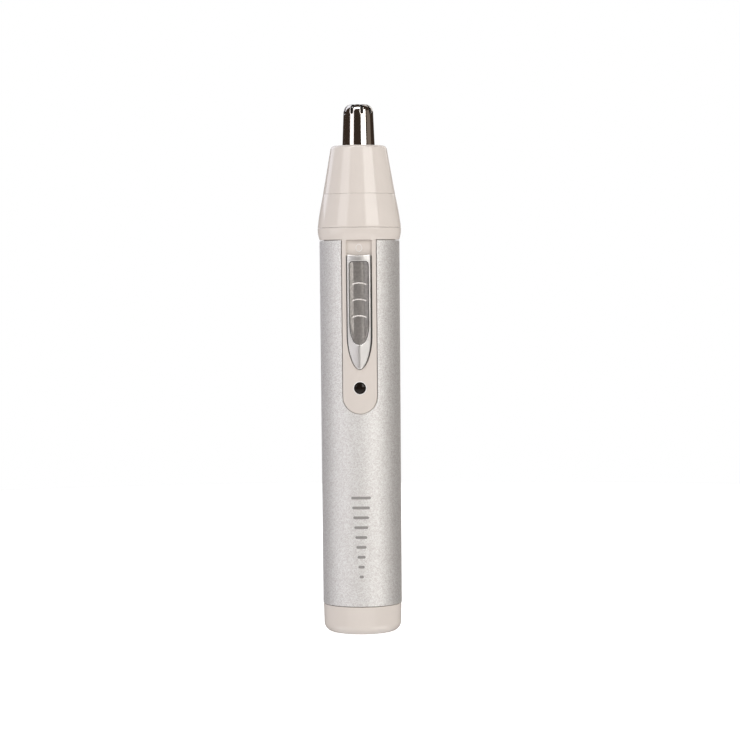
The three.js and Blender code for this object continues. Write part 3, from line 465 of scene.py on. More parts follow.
def boat(half, top, tip, ogive=0.0095, fullness=0.0042, tip_share=0.5, corner=0.0003, hollow=0.0):
    """The slider's outline, counter-clockwise: parallel sides closed by an ogive, and a hollowed top."""
    handles = ((half, tip + ogive), (half, tip + fullness), (tip_share * half, tip), (0, tip))
    left_curve = bezier(*(Vector((-x, z)) for x, z in handles), 24)
    right_curve = bezier(*map(Vector, reversed(handles)), 24)
    outline = [Vector((-half, top - corner)), *left_curve, *right_curve, Vector((half, top - corner))]
    angles = [math.pi / 2 * k / 6 for k in range(1, 6)]
    cuts = [(corner * (1 - math.cos(a)), corner * (1 - math.sin(a))) for a in angles]
    outline += [Vector((half - inset, top - drop)) for inset, drop in cuts]
    across = half - corner
    for k in range(17):
        x = across * (1 - k / 8)
        dip = hollow * (1 - (x / across) ** 2)
        outline.append(Vector((x, top - dip)))
    return outline + [Vector((inset - half, top - drop)) for inset, drop in reversed(cuts)]


def pad_outline(inset):
    half = PAD_HALF - inset
    top = PAD_TOP_Z - inset
    return boat(half, top, PAD_TIP_Z + inset, ogive=0.0066, fullness=0.0019, tip_share=0.62, corner=0.0009)


# ---- materials


def link(tree, output, target):
    tree.links.new(output, target)


def set_inputs(node, **values):
    """Sets sockets that are named with _ for a space."""
    for name, value in values.items():
        node.inputs[name.replace("_", " ")].default_value = value


def bare_material(name):
    made = bpy.data.materials.new(name)
    made.use_nodes = True
    tree = made.node_tree
    shader = tree.nodes["Principled BSDF"]
    return made, tree, shader


def object_coordinates(tree, stretch=(1, 1, 1)):
    coordinates = tree.nodes.new("ShaderNodeTexCoord")
    mapping = tree.nodes.new("ShaderNodeMapping")
    set_inputs(mapping, Scale=stretch)
    link(tree, coordinates.outputs["Object"], mapping.inputs["Vector"])
    return mapping.outputs["Vector"]


def noise(tree, vector, scale, detail=3.0, roughness=0.55):
    texture = tree.nodes.new("ShaderNodeTexNoise")
    set_inputs(texture, Scale=scale, Detail=detail, Roughness=roughness)
    link(tree, vector, texture.inputs["Vector"])
    return texture.outputs["Fac"]


def mapped(tree, value, low, high, from_low=0.3, from_high=0.7):
    remap = tree.nodes.new("ShaderNodeMapRange")
    set_inputs(remap, From_Min=from_low, From_Max=from_high, To_Min=low, To_Max=high)
    link(tree, value, remap.inputs["Value"])
    return remap.outputs["Result"]


def blended(tree, factor, first, second):
    """A mix of two colours, each given as numbers or as a node's output."""
    mix = tree.nodes.new("ShaderNodeMix")
    mix.data_type = "RGBA"
    link(tree, factor, mix.inputs["Factor"])
    for socket, color in (("A", first), ("B", second)):
        if isinstance(color, tuple):
            mix.inputs[socket].default_value = (*color, 1)
        else:
            link(tree, color, mix.inputs[socket])
    return mix.outputs["Result"]


def bumped(tree, height, distance, below=None):
    bump = tree.nodes.new("ShaderNodeBump")
    set_inputs(bump, Distance=distance, Strength=1.0)
    link(tree, height, bump.inputs["Height"])
    if below is not None:
        link(tree, below, bump.inputs["Normal"])
    return bump.outputs["Normal"]


def scaled(color, factor):
    return tuple(min(1.0, c * factor) for c in color)


def surface(name, color, roughness, metallic=0.0, mottle=0.04, patch=0.004, spread=0.04,
            grain=0.0003, relief=2e-6, stretch=(1, 1, 1), **sockets):
    """A procedural finish: slow colour mottling, uneven roughness and a fine grain in relief."""
    made, tree, shader = bare_material(name)
    vector = object_coordinates(tree, stretch)
    slow = mapped(tree, noise(tree, vector, 1 / patch), 0, 1)
    tint = blended(tree, slow, scaled(color, 1 - mottle), scaled(color, 1 + mottle))
    link(tree, tint, shader.inputs["Base Color"])
    uneven = noise(tree, vector, 1 / (0.3 * patch), detail=4)
    link(tree, mapped(tree, uneven, roughness - spread, roughness + spread), shader.inputs["Roughness"])
    fine = noise(tree, vector, 1 / grain, detail=2)
    link(tree, bumped(tree, fine, relief), shader.inputs["Normal"])
    set_inputs(shader, Metallic=metallic, **sockets)
    return made


def sleeve_finish():
    """Satin silver with the sparkle of fine flakes, each flake a little lighter or darker and tilted."""
    flake_size = 0.00022
    grain_size = 0.0003
    grain_depth = 1e-5
    tilt_depth = 6e-6
    made, tree, shader = bare_material("satin_silver")
    vector = object_coordinates(tree)
    flakes = tree.nodes.new("ShaderNodeTexVoronoi")
    set_inputs(flakes, Scale=1 / flake_size)
    link(tree, vector, flakes.inputs["Vector"])
    split = tree.nodes.new("ShaderNodeSeparateColor")
    link(tree, flakes.outputs["Color"], split.inputs["Color"])
    silver = (0.905, 0.872, 0.855)
    spread = 0.15
    tint = blended(tree, split.outputs["Red"], scaled(silver, 1 - spread), scaled(silver, 1 + spread))
    link(tree, tint, shader.inputs["Base Color"])
    rough = mapped(tree, split.outputs["Green"], 0.54, 0.62, 0, 1)
    link(tree, rough, shader.inputs["Roughness"])
    grain = noise(tree, vector, 1 / grain_size)
    normal = bumped(tree, grain, grain_depth)
    tilt = bumped(tree, split.outputs["Blue"], tilt_depth, normal)
    link(tree, tilt, shader.inputs["Normal"])
    set_inputs(shader, Metallic=0.82)
    return made


# The finish of each of the record's slots.
FINISHES = {
    "ivory_plastic": surface("ivory_gloss", (0.72, 0.655, 0.602), 0.1, mottle=0.012, patch=0.006,
        spread=0.02, grain=0.0006, relief=8e-7),
    "silver_sleeve": sleeve_finish(),
    "slider_metal": surface("slider_satin_chrome", (0.95, 0.935, 0.92), 0.41, 0.9, mottle=0.03,
        patch=0.003, spread=0.02, grain=0.0004, relief=6e-7),
    "pad_metal": surface("pad_satin_grey", (0.48, 0.458, 0.44), 0.4, 0.86, mottle=0.14, patch=0.0006,
        spread=0.05, relief=1.2e-5),
    "cutter_steel": surface("polished_steel", (0.62, 0.585, 0.55), 0.09, 1.0, mottle=0.02, patch=0.004,
        spread=0.025, grain=0.00015, relief=6e-7, stretch=(1, 1, 0.08)),
    "blade_steel": surface("ground_steel", (0.55, 0.55, 0.56), 0.22, 1.0, mottle=0.05, patch=0.003,
        grain=0.0001, relief=2e-6, stretch=(0.1, 1, 1)),
    "smoked_lens": surface("smoked_lens", (0.012, 0.008, 0.006), 0.12, mottle=0.3, patch=0.001,
        spread=0.02, relief=5e-7, Specular_IOR_Level=0.35),
    "black_plastic": surface("black_moulding_and_gap_shade", (0.012, 0.012, 0.013), 0.45, mottle=0.2, patch=0.003,
        relief=6e-6),
    "white_nylon": surface("white_nylon", (0.8, 0.79, 0.75), 0.38, mottle=0.02, patch=0.004,
        relief=4e-6, Subsurface_Weight=0.1, Subsurface_Scale=0.001),
    "seal_rubber": surface("seal_rubber", (0.02, 0.02, 0.021), 0.7, mottle=0.15, patch=0.002, relief=1e-5),
    "brass_contact": surface("brass", (0.55, 0.38, 0.16), 0.3, 1.0, mottle=0.06, patch=0.002, relief=3e-6),
    "copper": surface("copper", (0.6, 0.27, 0.13), 0.3, 1.0, mottle=0.08, patch=0.001, relief=6e-6),
    "nickel": surface("nickel_plate", (0.6, 0.59, 0.55), 0.25, 1.0, mottle=0.04, patch=0.002),
    "cell_wrap": surface("cell_wrap", (0.05, 0.2, 0.1), 0.28, mottle=0.05, patch=0.005, relief=3e-6),
    "board_green": surface("solder_mask", (0.02, 0.13, 0.05), 0.35, mottle=0.1, patch=0.002, relief=6e-6),
    "motor_steel": surface("zinc_plated_steel", (0.5, 0.5, 0.49), 0.33, 1.0, mottle=0.07, patch=0.003,
        relief=4e-6),
    "magnet_ferrite": surface("ferrite", (0.035, 0.033, 0.031), 0.65, mottle=0.2, patch=0.001, relief=2e-5),
    "red_lead": surface("red_insulation", (0.35, 0.02, 0.015), 0.4, mottle=0.08, patch=0.003),
    "black_lead": surface("black_insulation", (0.014, 0.014, 0.015), 0.4, mottle=0.1, patch=0.003),
}
# pale paint: the print of the numeral, and a painted highlight on the ring round the light
PALE_PRINT_AND_HIGHLIGHT = surface("pale_print_and_highlight", (0.9, 0.865, 0.838), 0.2, mottle=0.02, patch=0.001, relief=1e-6)
# near-black steel for the inside of the tip and the walls of its slots: painted shade that makes the slots
# dark
SHADED_SLOT_STEEL = surface("steel_painted_slot_shade", (0.06, 0.055, 0.05), 0.5, 0.9, mottle=0.1, patch=0.001, relief=3e-6)
INK = surface("grey_ink", (0.34, 0.325, 0.31), 0.42, 0.25, mottle=0.08, patch=0.0006, relief=3e-6)

for node, node_object in frame["nodes"].items():
    node_object.data.materials.clear()
    node_object.data.materials.append(FINISHES[node_slot(node)])

# ---- camera

EYE = Vector((0.0126, -0.67, 0.0956))
AIM = Vector((0.0026, 0, 0.07226))
ROLL = math.radians(0.51)
LENS = 117.85


def add_camera():
    data = bpy.data.cameras.new("camera")
    data.lens = LENS
    data.sensor_width = 36
    data.clip_start = 0.01
    made = bpy.data.objects.new("camera", data)
    look = (AIM - EYE).to_track_quat("-Z", "Y")
    made.rotation_mode = "QUATERNION"
    made.rotation_quaternion = look @ Quaternion((0, 0, 1), -ROLL)
    made.location = EYE
    bpy.context.scene.collection.objects.link(made)
    bpy.context.scene.camera = made


add_camera()

# ---- casing


def casing_place(radius_at):
    """Lays (u, z, depth) on the casing. Depth runs along +Y near the switch, else towards the axis."""
    straight = math.radians(27)
    fade = math.radians(35)

    def place(u, z, depth):
        angle = u / R_TONGUE
        sink = angle * smooth((abs(angle) - straight) / fade)
        radius = radius_at(z)
        x = radius * math.sin(angle) - depth * math.sin(sink)
        y = -radius * math.cos(angle) + depth * math.cos(sink)
        return Vector((x, y, z))

    return place


def radial_place(radius):
    """Lays (u, z, depth) on a cylinder, with depth towards the axis."""

    def place(u, z, depth):
        angle = u / R_TONGUE
        return Vector(((radius - depth) * math.sin(angle), -(radius - depth) * math.cos(angle), z))

    return place


def ring_chain(z, forward, radius=R_TONGUE):
    """A level chain round the axis, from the seam at the back to the seam."""
    span = math.pi * radius
    ends = [Vector((-span, z)), Vector((span, z))]
    return ends if forward else ends[::-1]


def sleeve_radius(z):
    return R_SLEEVE_LOW + (R_SLEEVE_HIGH - R_SLEEVE_LOW) * (z - SLEEVE_LOW_Z) / (SLEEVE_HIGH_Z - SLEEVE_LOW_Z)


def body_sleeve():
    low = SLEEVE_LOW_Z
    high = SLEEVE_HIGH_Z
    gap = 0.00017
    across = 0.0006
    along = 0.0024
    slot = unrolled(tongue_side(TONGUE_HALF + gap, high, TONGUE_END_Z - gap), R_TONGUE)
    lower = densified(ring_chain(low, True), across, False)
    seam = math.pi * R_TONGUE
    upper = densified([Vector((seam, high)), *reversed(slot), Vector((-seam, high))], across, False)
    build = bmesh.new()
    place = casing_place(sleeve_radius)
    sheet(build, [lower, upper], [], (across, along), SLEEVE_WALL, EDGE, place, wraps=True)
    weigh_normals(piece("sleeve_shell", build, "body_sleeve"))


def flare_radius(z):
    """The tongue's radius, which swells into the collar's bead, its start softened."""
    shifts = [BEAD_SOFTENING * k for k in range(-2, 3)]
    falls = [min(max((BEAD_Z - z - shift) / BEAD_REACH, 0), 1) for shift in shifts]
    return sum(R_BEAD - (R_BEAD - R_TONGUE) * fall**2 for fall in falls) / len(falls)


def tongue_and_collar(build, channel):
    """The wall of the tongue with its two holes, and the collar above it, all round."""
    spacing = 0.0005
    seam = math.pi * R_TONGUE
    tongue = unrolled(tongue_side(TONGUE_HALF, COLLAR_LOW_Z, TONGUE_END_Z), R_TONGUE)
    lower = [Vector((-seam, COLLAR_LOW_Z)), *tongue, Vector((seam, COLLAR_LOW_Z))]
    chains = [densified(chain, spacing, False) for chain in (lower, ring_chain(COLLAR_TOP_Z, False))]
    led_hole = ellipse(0, LED_Z, LED_HOLE_RADIUS, -LED_HOLE_RADIUS)
    holes = [unrolled(hole, R_TONGUE) for hole in (channel, led_hole)]
    place = casing_place(flare_radius)
    sheet(build, chains, holes, (spacing, spacing), TONGUE_WALL, EDGE, place, wraps=True)


def channel_floor(build):
    """A plate let into the back of the tongue, with a slot for the slider's stem."""
    margin = 0.0004
    thickness = 0.0004
    floor = boat(CHANNEL_HALF + margin, CHANNEL_TOP_Z + margin, CHANNEL_TIP_Z - margin)
    slot = box_outline(
        STEM_HALF + STEM_PLAY,
        STEM_LOW_Z - STEM_PLAY,
        STEM_HIGH_Z + SLIDE_TRAVEL + STEM_PLAY,
    )
    place = front_place(lambda x, z: CHANNEL_FLOOR_Y)
    sheet(build, [densified(floor, COARSE[0])], [slot[::-1]], COARSE, thickness, SHARP, place)


def inner_tube(build, channel):
    """The front half of the tube inside the sleeve."""
    low = 0.008
    high = 0.109
    seam_angle = 0.01
    spacing = (0.0015, 0.003)
    half = (math.pi / 2 - seam_angle) * R_TONGUE
    shell = densified(box_outline(half, low, high), spacing[0])
    hole = unrolled(channel, R_INNER)
    wall = R_INNER - R_INNER_BORE
    sheet(build, [shell], [hole], spacing, wall, SHARP, radial_place(R_INNER))


def spigot(build):
    """The bulkhead over the motor, and the spigot that the head pushes on to, with its seal's groove."""
    shaft_hole = 0.0023
    low = 0.1093
    rim = 0.0101
    rim_top = 0.1113
    outside = 0.0093
    groove_low = 0.1138
    groove_high = 0.1153
    groove_floor = 0.0083
    top = heights("inner_body_front")[1]
    top_rounding = 0.0004
    inside = 0.0079
    bulkhead_top = 0.1112
    lathe(build, filleted([
        (shaft_hole, low, 0), (rim, low, 0), (rim, rim_top, 0),
        (outside, rim_top, 0), (outside, groove_low, EDGE),
        (groove_floor, groove_low, EDGE), (groove_floor, groove_high, EDGE),
        (outside, groove_high, EDGE), (outside, top, top_rounding),
        (inside, top, EDGE), (inside, bulkhead_top, SOFT),
        (shaft_hole, bulkhead_top, EDGE),
    ]))


def inner_body_front():
    outline_step = 0.0006
    channel = densified(boat(CHANNEL_HALF, CHANNEL_TOP_Z, CHANNEL_TIP_Z)[::-1], outline_step)
    build = bmesh.new()
    tongue_and_collar(build, channel)
    channel_floor(build)
    inner_tube(build, channel)
    spigot(build)
    weigh_normals(piece("tongue_and_collar", build, "inner_body_front"))


def front_place(face_y, shift=0.0):
    """Lays (x, z, depth) on a face seen from the front, with depth along +Y."""
    return lambda x, z, depth: Vector((x + shift, face_y(x, z) + depth, z))


def numeral():
    """A 0 on the channel's floor, which the slider covers when it is on."""
    line = 0.0002
    sink = 0.0001
    rounding = 0.00004
    outer = ellipse(0, NUMERAL_Z, NUMERAL_HALF, NUMERAL_RISE)
    inner = ellipse(0, NUMERAL_Z, NUMERAL_HALF - line, line - NUMERAL_RISE)
    build = bmesh.new()
    face = front_place(lambda x, z: CHANNEL_FLOOR_Y - NUMERAL_HEIGHT)
    sheet(build, [outer], [inner], (line, line), NUMERAL_HEIGHT + sink, rounding, face)
    piece("numeral", build, material=PALE_PRINT_AND_HIGHLIGHT, body="handle", slot="ivory_plastic")


def bottom_cap():
    base_z = heights("bottom_cap")[0]
    gap = 0.0002
    join = SLEEVE_LOW_Z - gap
    inlet = 0.002
    taper = 0.0002
    rim_rounding = 0.0026
    spigot_radius = 0.0086
    spigot_top = 0.0122
    bore = 0.0076
    floor_z = 0.0014
    build = turned([
        (inlet, base_z, SOFT), (R_CAP - taper, base_z, rim_rounding),
        (R_CAP, join, ROUND), (spigot_radius, join, 0),
        (spigot_radius, spigot_top, EDGE), (bore, spigot_top, EDGE),
        (bore, floor_z, 0), (inlet, floor_z, 0),
    ], steps=10)
    weigh_normals(piece("end_cap", build, "bottom_cap"))


def charge_inlet():
    """The round socket in the base, and the pin in its middle."""
    bore = 0.00185
    outside = 0.0036
    mouth_z = 0.0016
    back_z = 0.0104
    pin_hole = 0.0008
    bore_end_z = 0.009
    build = turned([
        (bore, mouth_z, EDGE), (outside, mouth_z, EDGE),
        (outside, back_z, EDGE), (pin_hole, back_z, 0),
        (pin_hole, bore_end_z, 0), (bore, bore_end_z, 0),
    ], 64)
    weigh_normals(piece("inlet_socket", build, "charge_socket"))
    pin = 0.00065
    tip_z = 0.0022
    tail_z = 0.0109
    build = turned([(0, tip_z, 0), (pin, tip_z, SOFT), (pin, tail_z, 0), (0, tail_z, 0)], 32)
    weigh_normals(piece("inlet_pin", build, "charge_pin"))


# ---- switch


def crown_fall(x):
    return SLIDER_CROWN - math.sqrt(SLIDER_CROWN**2 - x * x)


def crown_y(x, z):
    """The slider's crowned face, which turns into a keel towards its tip."""
    along = smooth((TAIL_START_Z - z) / TAIL_BLEND)
    keel = KEEL_SLOPE * (math.hypot(x, KEEL_ROUND) - KEEL_ROUND)
    return SLIDER_FRONT_Y + crown_fall(x) * (1 - along) + keel * along


def slide_shell():
    """The silver shell round the pad, and the stem behind it."""
    spacing = (0.00022, 0.00028)
    wall = 0.0009
    opening_rounding = 0.00014
    outline = densified(boat(SLIDER_HALF, SLIDER_TOP_Z, SLIDER_TIP_Z, hollow=0.0003), OUTLINE_STEP)
    opening = densified(pad_outline(0)[::-1], OUTLINE_STEP)
    build = bmesh.new()
    place = front_place(crown_y, SLIDER_SHIFT)
    sheet(build, [outline], [opening], spacing, wall, ROUND, place, hole_fillet=opening_rounding)
    stem = box_outline(STEM_HALF, STEM_LOW_Z, STEM_HIGH_Z)
    length = 0.00245
    sheet(build, [stem], [], COARSE, length, SHARP, front_place(lambda x, z: STEM_BACK_Y - length))
    piece("slide_shell", build, "switch_slider")


def gap_shade_plate():
    """A black plate under the slider, painted shade that makes the gap round it dark."""
    half = CHANNEL_HALF - SHADE_PLATE_GAP
    shade_outline = boat(half, SLIDER_TOP_Z - 2 * SHADE_PLATE_GAP, CHANNEL_TIP_Z + 2 * SHADE_PLATE_GAP)
    thickness = SLIDER_BACK_Y - SHADE_PLATE_Y
    build = bmesh.new()
    place = front_place(lambda x, z: SHADE_PLATE_Y)
    sheet(build, [densified(shade_outline, PLAIN_STEP)], [], PLAIN, thickness, SHARP, place)
    # painted shade: the black plate only darkens the gap round the slider
    piece("gap_shade_plate", build, body="switch", slot="black_plastic")


def pad_y(x, z):
    """The thumb pad's face, a trough along its length with arched grooves across."""
    aside = max(0.0, abs(x) - PAD_FLAT)
    rise = PAD_SLOPE * (math.hypot(aside, PAD_ROUND) - PAD_ROUND)
    low_end = smooth((PAD_TIP_Z + PAD_RUNOUT - z) / PAD_RUNOUT)
    depth = PAD_RIM + max(0.0, PAD_SINK - rise) * (1 - PAD_LIFT * low_end)
    face = max(SLIDER_FRONT_Y + crown_fall(x) + depth, crown_y(x, z) + PAD_RIM)
    for i in range(GROOVE_COUNT):
        deepest = GROOVE_TOP_Z - i * GROOVE_PITCH - GROOVE_ARCH * x * x
        ends = smooth((GROOVE_HALF - abs(x)) / GROOVE_FADE)
        wall = (z - deepest) / GROOVE_RISE if z > deepest else (deepest - z) / GROOVE_FALL
        face += GROOVE_DEPTH * max(0.0, 1 - wall) * ends
    return face


def thumb_pad():
    gap = 0.00013
    spacing = (0.00012, 0.00007)
    thickness = 0.0004
    rounding = 0.0001
    outline = densified(pad_outline(gap), OUTLINE_STEP)
    build = bmesh.new()
    sheet(build, [outline], [], spacing, thickness, rounding, front_place(pad_y, SLIDER_SHIFT))
    piece("pad_insert", build, "thumb_pad")


def turned_facing_front(points):
    """A lathe outline turned about a level axis through the light's middle, its heights towards the front."""
    build = turned(points, 64)
    upright = Matrix.Translation((0, 0, LED_Z)) @ Matrix.Rotation(math.pi / 2, 4, "X")
    bmesh.ops.transform(build, matrix=upright, verts=build.verts)
    return build


def indicator():
    """A smoked lens with a low dome and a rounded rim, and round it a pale ring, a painted highlight for the
    light on the hole's rounded edge.
    """
    back = 0.00655
    rim = 0.01035
    rise = 0.0004
    shares = [1 - k / 8 for k in range(9)]
    dome = [(LED_RADIUS * t, rim + rise * (1 - t**2), EDGE if t == 1 else 0) for t in shares]
    lens = turned_facing_front([(0, back, 0), (LED_RADIUS, back, 0), *dome])
    piece("indicator_lens", lens, "indicator_led")
    # the pale ring round the lens is a painted highlight, standing for the light caught on the hole's rounded
    # edge
    play = 0.00003
    overlap = 0.00002
    inner = LED_RADIUS + play
    outer = LED_HOLE_RADIUS + overlap
    highlight_back = 0.0105
    highlight_front = 0.011
    bevel = 0.0001
    lip = 0.00008
    highlight_ring = turned_facing_front([
        (inner, highlight_back, 0), (outer, highlight_back, 0),
        (outer, highlight_front, lip), (inner, highlight_front - bevel, lip / 2),
    ])
    piece("lens_highlight_ring", highlight_ring, material=PALE_PRINT_AND_HIGHLIGHT, body="handle", slot="ivory_plastic")


def printed_mark():
    """A generic mark: a column of rounded bars that shorten downwards."""
    build = bmesh.new()
    proud = 0.000015
    shortening = 0.78
    spacing = (0.0004, 0.0002)
    radius = MARK_LINE / 2
    place = casing_place(lambda height: sleeve_radius(height) + proud)
    for i in range(MARK_BARS):
        z = MARK_TOP_Z - i * MARK_PITCH
        half = MARK_HALF * (1 - shortening * i / (MARK_BARS - 1))
        outline = []
        for side in (1, -1):
            for k in range(9):
                a = math.pi * (k / 8 - 0.5)
                x = side * (half - radius + radius * math.cos(a))
                outline.append(Vector((x, z + side * radius * math.sin(a))))
        bar = densified(outline, spacing[0])
        sheet(build, [unrolled(bar, R_TONGUE)], [], spacing, 4 * proud, proud / 2, place)
    piece("printed_mark", build, material=INK, body="handle", slot="pad_metal")


# ---- head


def head_base():
    """The convex lower ring of the head, with the socket under it and the spigot that the cone turns on."""
    step = 0.00005
    fall = 0.115
    bend = 6.26
    rise = HEAD_SEAM_Z - HEAD_LOW_Z
    outer = []
    for k in range(1, 18):
        s = rise * k / 18
        outer.append((R_BEAD - fall * s - bend * s * s, HEAD_LOW_Z + s, 0))
    top = R_BEAD - fall * rise - bend * rise * rise
    socket = 0.0096
    socket_top = 0.1178
    pivot = 0.0076
    pivot_top = 0.125
    pivot_bore = 0.0066
    web_top = 0.119
    shaft_hole = 0.0054
    build = turned([
        (socket, HEAD_LOW_Z, EDGE), (R_BEAD - step, HEAD_LOW_Z, SEAM_EDGE),
        *outer,
        (top, HEAD_SEAM_Z, SEAM_EDGE), (pivot, HEAD_SEAM_Z, 0),
        (pivot, pivot_top, EDGE), (pivot_bore, pivot_top, EDGE),
        (pivot_bore, web_top, EDGE), (shaft_hole, web_top, EDGE),
        (shaft_hole, socket_top, EDGE), (socket, socket_top, SOFT),
    ])
    weigh_normals(piece("head_ring", build, "head_base"))


def head_cap():
    """The straight cone, with the hole for the steel tip and the seat for its flange."""
    low = HEAD_SEAM_Z + SEAM_GAP
    step = 0.00002
    bore = 0.0082
    tip_gap = 0.00012
    foot_gap = 0.00025
    seat = 0.00615
    seat_top = 0.1323
    seat_low = 0.1272
    bore_top = 0.1256
    build = turned([
        (bore, low, EDGE), (R_SEAM - step, low, SEAM_EDGE),
        (R_CONE_TOP, CONE_TOP_Z, CONE_CORNER),
        (R_TIP_ROOT + tip_gap, CONE_TOP_Z, EDGE),
        (R_TIP_ROOT + foot_gap, seat_top, 0), (seat, seat_top, 0),
        (seat, seat_low, 0), (bore, bore_top, 0),
    ], steps=8)
    weigh_normals(piece("head_cone_shell", build, "head_cap"))


def tip_profile():
    """(radius, z) points up the cutter's wall, over its shoulder and across its top."""
    rise = np.linspace(0, 1, TIP_STEPS + 1)
    turn = rise[1:] * math.pi / 2
    across = np.linspace(R_TIP_TOP, TIP_HOLE, 9)[1:]
    wall = (
        R_TIP_ROOT + (R_TIP_SHOULDER - R_TIP_ROOT) * rise,
        TIP_ROOT_Z + (TIP_SHOULDER_Z - TIP_ROOT_Z) * rise,
    )
    shoulder = (
        R_TIP_TOP + (R_TIP_SHOULDER - R_TIP_TOP) * np.cos(turn),
        TIP_SHOULDER_Z + (TIP_Z - TIP_SHOULDER_Z) * np.sin(turn),
    )
    top = (across, np.full(len(across), TIP_Z))
    return np.concatenate([np.transpose(part) for part in (wall, shoulder, top)])


def tip_slots(lengths, profile):
    """The outlines of the slots over the tip's shoulder, in arc lengths round it and up its profile."""
    shoulder_end = 2 * TIP_STEPS
    rising = slice(shoulder_end + 1)
    foot = float(np.interp(TIP_SLOT_FOOT_Z, profile[rising, 1], lengths[rising]))
    end = lengths[shoulder_end] + R_TIP_TOP - TIP_SLOT_END_R
    steps = 40
    climb = [foot + (end - foot) * k / steps for k in range(steps + 1)]
    halves = [R_TIP_ROOT * math.asin(TIP_SLOT_HALF / np.interp(v, lengths, profile[:, 0])) for v in climb]
    slots = []
    for i in range(TIP_SLOTS):
        turn = (TIP_SLOT_PHASE + 2 * math.pi * i / TIP_SLOTS + math.pi) % (2 * math.pi) - math.pi
        centre = turn * R_TIP_ROOT
        left = [Vector((centre - half, v)) for half, v in zip(halves, climb)]
        right = [Vector((centre + half, v)) for half, v in zip(halves, climb)]
        angles = [math.pi * k / 8 for k in range(1, 8)]
        around = [(centre + halves[0] * math.cos(a), foot - halves[0] * math.sin(a)) for a in angles]
        slots.append([*left, *reversed(right), *map(Vector, around)])
    return slots


def outer_cutter():
    """The steel tip: a thin cup with slots over its shoulder."""
    profile = tip_profile()
    lengths = np.concatenate([[0.0], np.cumsum(np.linalg.norm(np.diff(profile, axis=0), axis=1))])
    reach = 0.0002

    def at(v):
        return np.array([np.interp(v, lengths, profile[:, k]) for k in (0, 1)])

    def place(u, v, depth):
        along = at(v + reach) - at(v - reach)
        inward = np.array([-along[1], along[0]]) / np.linalg.norm(along)
        r, z = at(v) + depth * inward
        angle = u / R_TIP_ROOT
        return Vector((r * math.sin(angle), -r * math.cos(angle), z))

    spacing = 0.0002
    rounding = 0.00006
    lower = densified(ring_chain(0, True, R_TIP_ROOT), spacing, False)
    upper = densified(ring_chain(lengths[-1], False, R_TIP_ROOT), 2 * spacing, False)
    slots = tip_slots(lengths, profile)
    build = bmesh.new()
    grid = (spacing, spacing)
    sheet(build, [lower, upper], slots, grid, TIP_WALL, rounding, place, wraps=True, inner=1)
    bore = R_TIP_ROOT - TIP_WALL
    flange_top = 0.13225
    lathe(build, filleted([
        (bore, TIP_FLANGE_Z, 0), (R_TIP_FLANGE, TIP_FLANGE_Z, EDGE),
        (R_TIP_FLANGE, TIP_ROOT_Z, EDGE), (R_TIP_ROOT, flange_top, 0),
        (bore, flange_top, 0),
    ]))
    made = piece("cutter_tip", build, "outer_cutter")
    # painted shade: the tip's inside and its slot walls take the near-black steel
    made.data.materials.append(SHADED_SLOT_STEEL)
    weigh_normals(made)


# ---- what shows with the head off


def flat_place(top):
    """Lays (x, y, depth) on a level face, with depth downwards."""
    return lambda x, y, depth: Vector((x, y, top - depth))


def head_seal():
    ring = 0.00895
    ring_z = 0.11455
    section = 0.00055
    build = bmesh.new()
    lathe(build, ellipse(ring, ring_z, section, section, 24))
    piece("seal_ring", build, "head_seal")


def drive_coupling():
    """A nylon hub on the motor's shaft, with a square end that drives the blade's carrier."""
    bore = 0.00112
    disc = 0.0043
    disc_top = 0.1136
    hub = 0.0024
    hub_top = 0.116
    half = 0.0015
    spacing = (0.0005, 0.0005)
    low, high = heights("drive_coupling")
    build = turned([
        (bore, low, 0), (disc, low, EDGE), (disc, disc_top, EDGE),
        (hub, disc_top, SOFT), (hub, hub_top, ROUND), (bore, hub_top, 0),
    ], 64)
    corners = [(half, half, SOFT), (-half, half, SOFT), (-half, -half, SOFT), (half, -half, SOFT)]
    square = filleted(corners, 6)
    sheet(build, [square], [], spacing, high - hub_top, ROUND, flat_place(high))
    weigh_normals(piece("coupling", build, "drive_coupling"))


def blade_spring():
    radius = 0.0032
    wire = 0.00025
    turns = 4
    seat = 0.1139
    top = 0.118
    closing = 0.05  # the share of its length over which each end flattens
    low = seat + wire
    rise = top - wire - low
    steps = 48 * turns
    sides = 12
    build = bmesh.new()
    rings = []
    for i in range(steps + 1):
        t = i / steps
        a = 2 * math.pi * turns * t
        outward = Vector((math.cos(a), math.sin(a), 0))
        centre = outward * radius + Vector((0, 0, low + rise * smooth(t * (1 + 2 * closing) - closing)))
        spokes = [2 * math.pi * k / sides for k in range(sides)]
        rings.append([
            build.verts.new(centre + wire * (outward * math.cos(b) + Vector((0, 0, math.sin(b)))))
            for b in spokes
        ])
    for first, second in zip(rings, rings[1:]):
        for k in range(sides):
            j = (k + 1) % sides
            build.faces.new((first[k], first[j], second[j], second[k]))
    build.faces.new(rings[0])
    build.faces.new(rings[-1])
    made = piece("float_spring", build, "blade_spring")
    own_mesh(made)


def blade_carrier():
    """A skirt over the spring, a waist and a thin spindle whose two prongs grip the blade."""
    low, high = heights("blade_carrier")
    bore = 0.0023
    bore_top = 0.126
    skirt = 0.0041
    skirt_top = 0.1192
    waist = 0.0033
    waist_top = 0.127
    spindle = 0.0015
    slot_foot = 0.1342
    shoulder = 0.0008
    build = turned([
        (bore, low, EDGE), (skirt, low, EDGE), (skirt, skirt_top, EDGE),
        (waist, skirt_top, SOFT), (waist, waist_top, shoulder),
        (spindle, waist_top, shoulder / 2), (spindle, slot_foot, 0),
        (0, slot_foot, 0), (0, bore_top, 0), (bore, bore_top, 0),
    ], 64)
    grip = 0.00031
    spacing = (0.0004, 0.0004)
    start = math.asin(grip / spindle)
    for side in (1, -1):
        arc = [start + (math.pi - 2 * start) * k / 16 for k in range(17)]
        prong = [side * spindle * Vector((math.cos(a), math.sin(a))) for a in arc]
        sheet(build, [prong], [], spacing, high - slot_foot, ROUND, flat_place(high))
    weigh_normals(piece("carrier", build, "blade_carrier"))


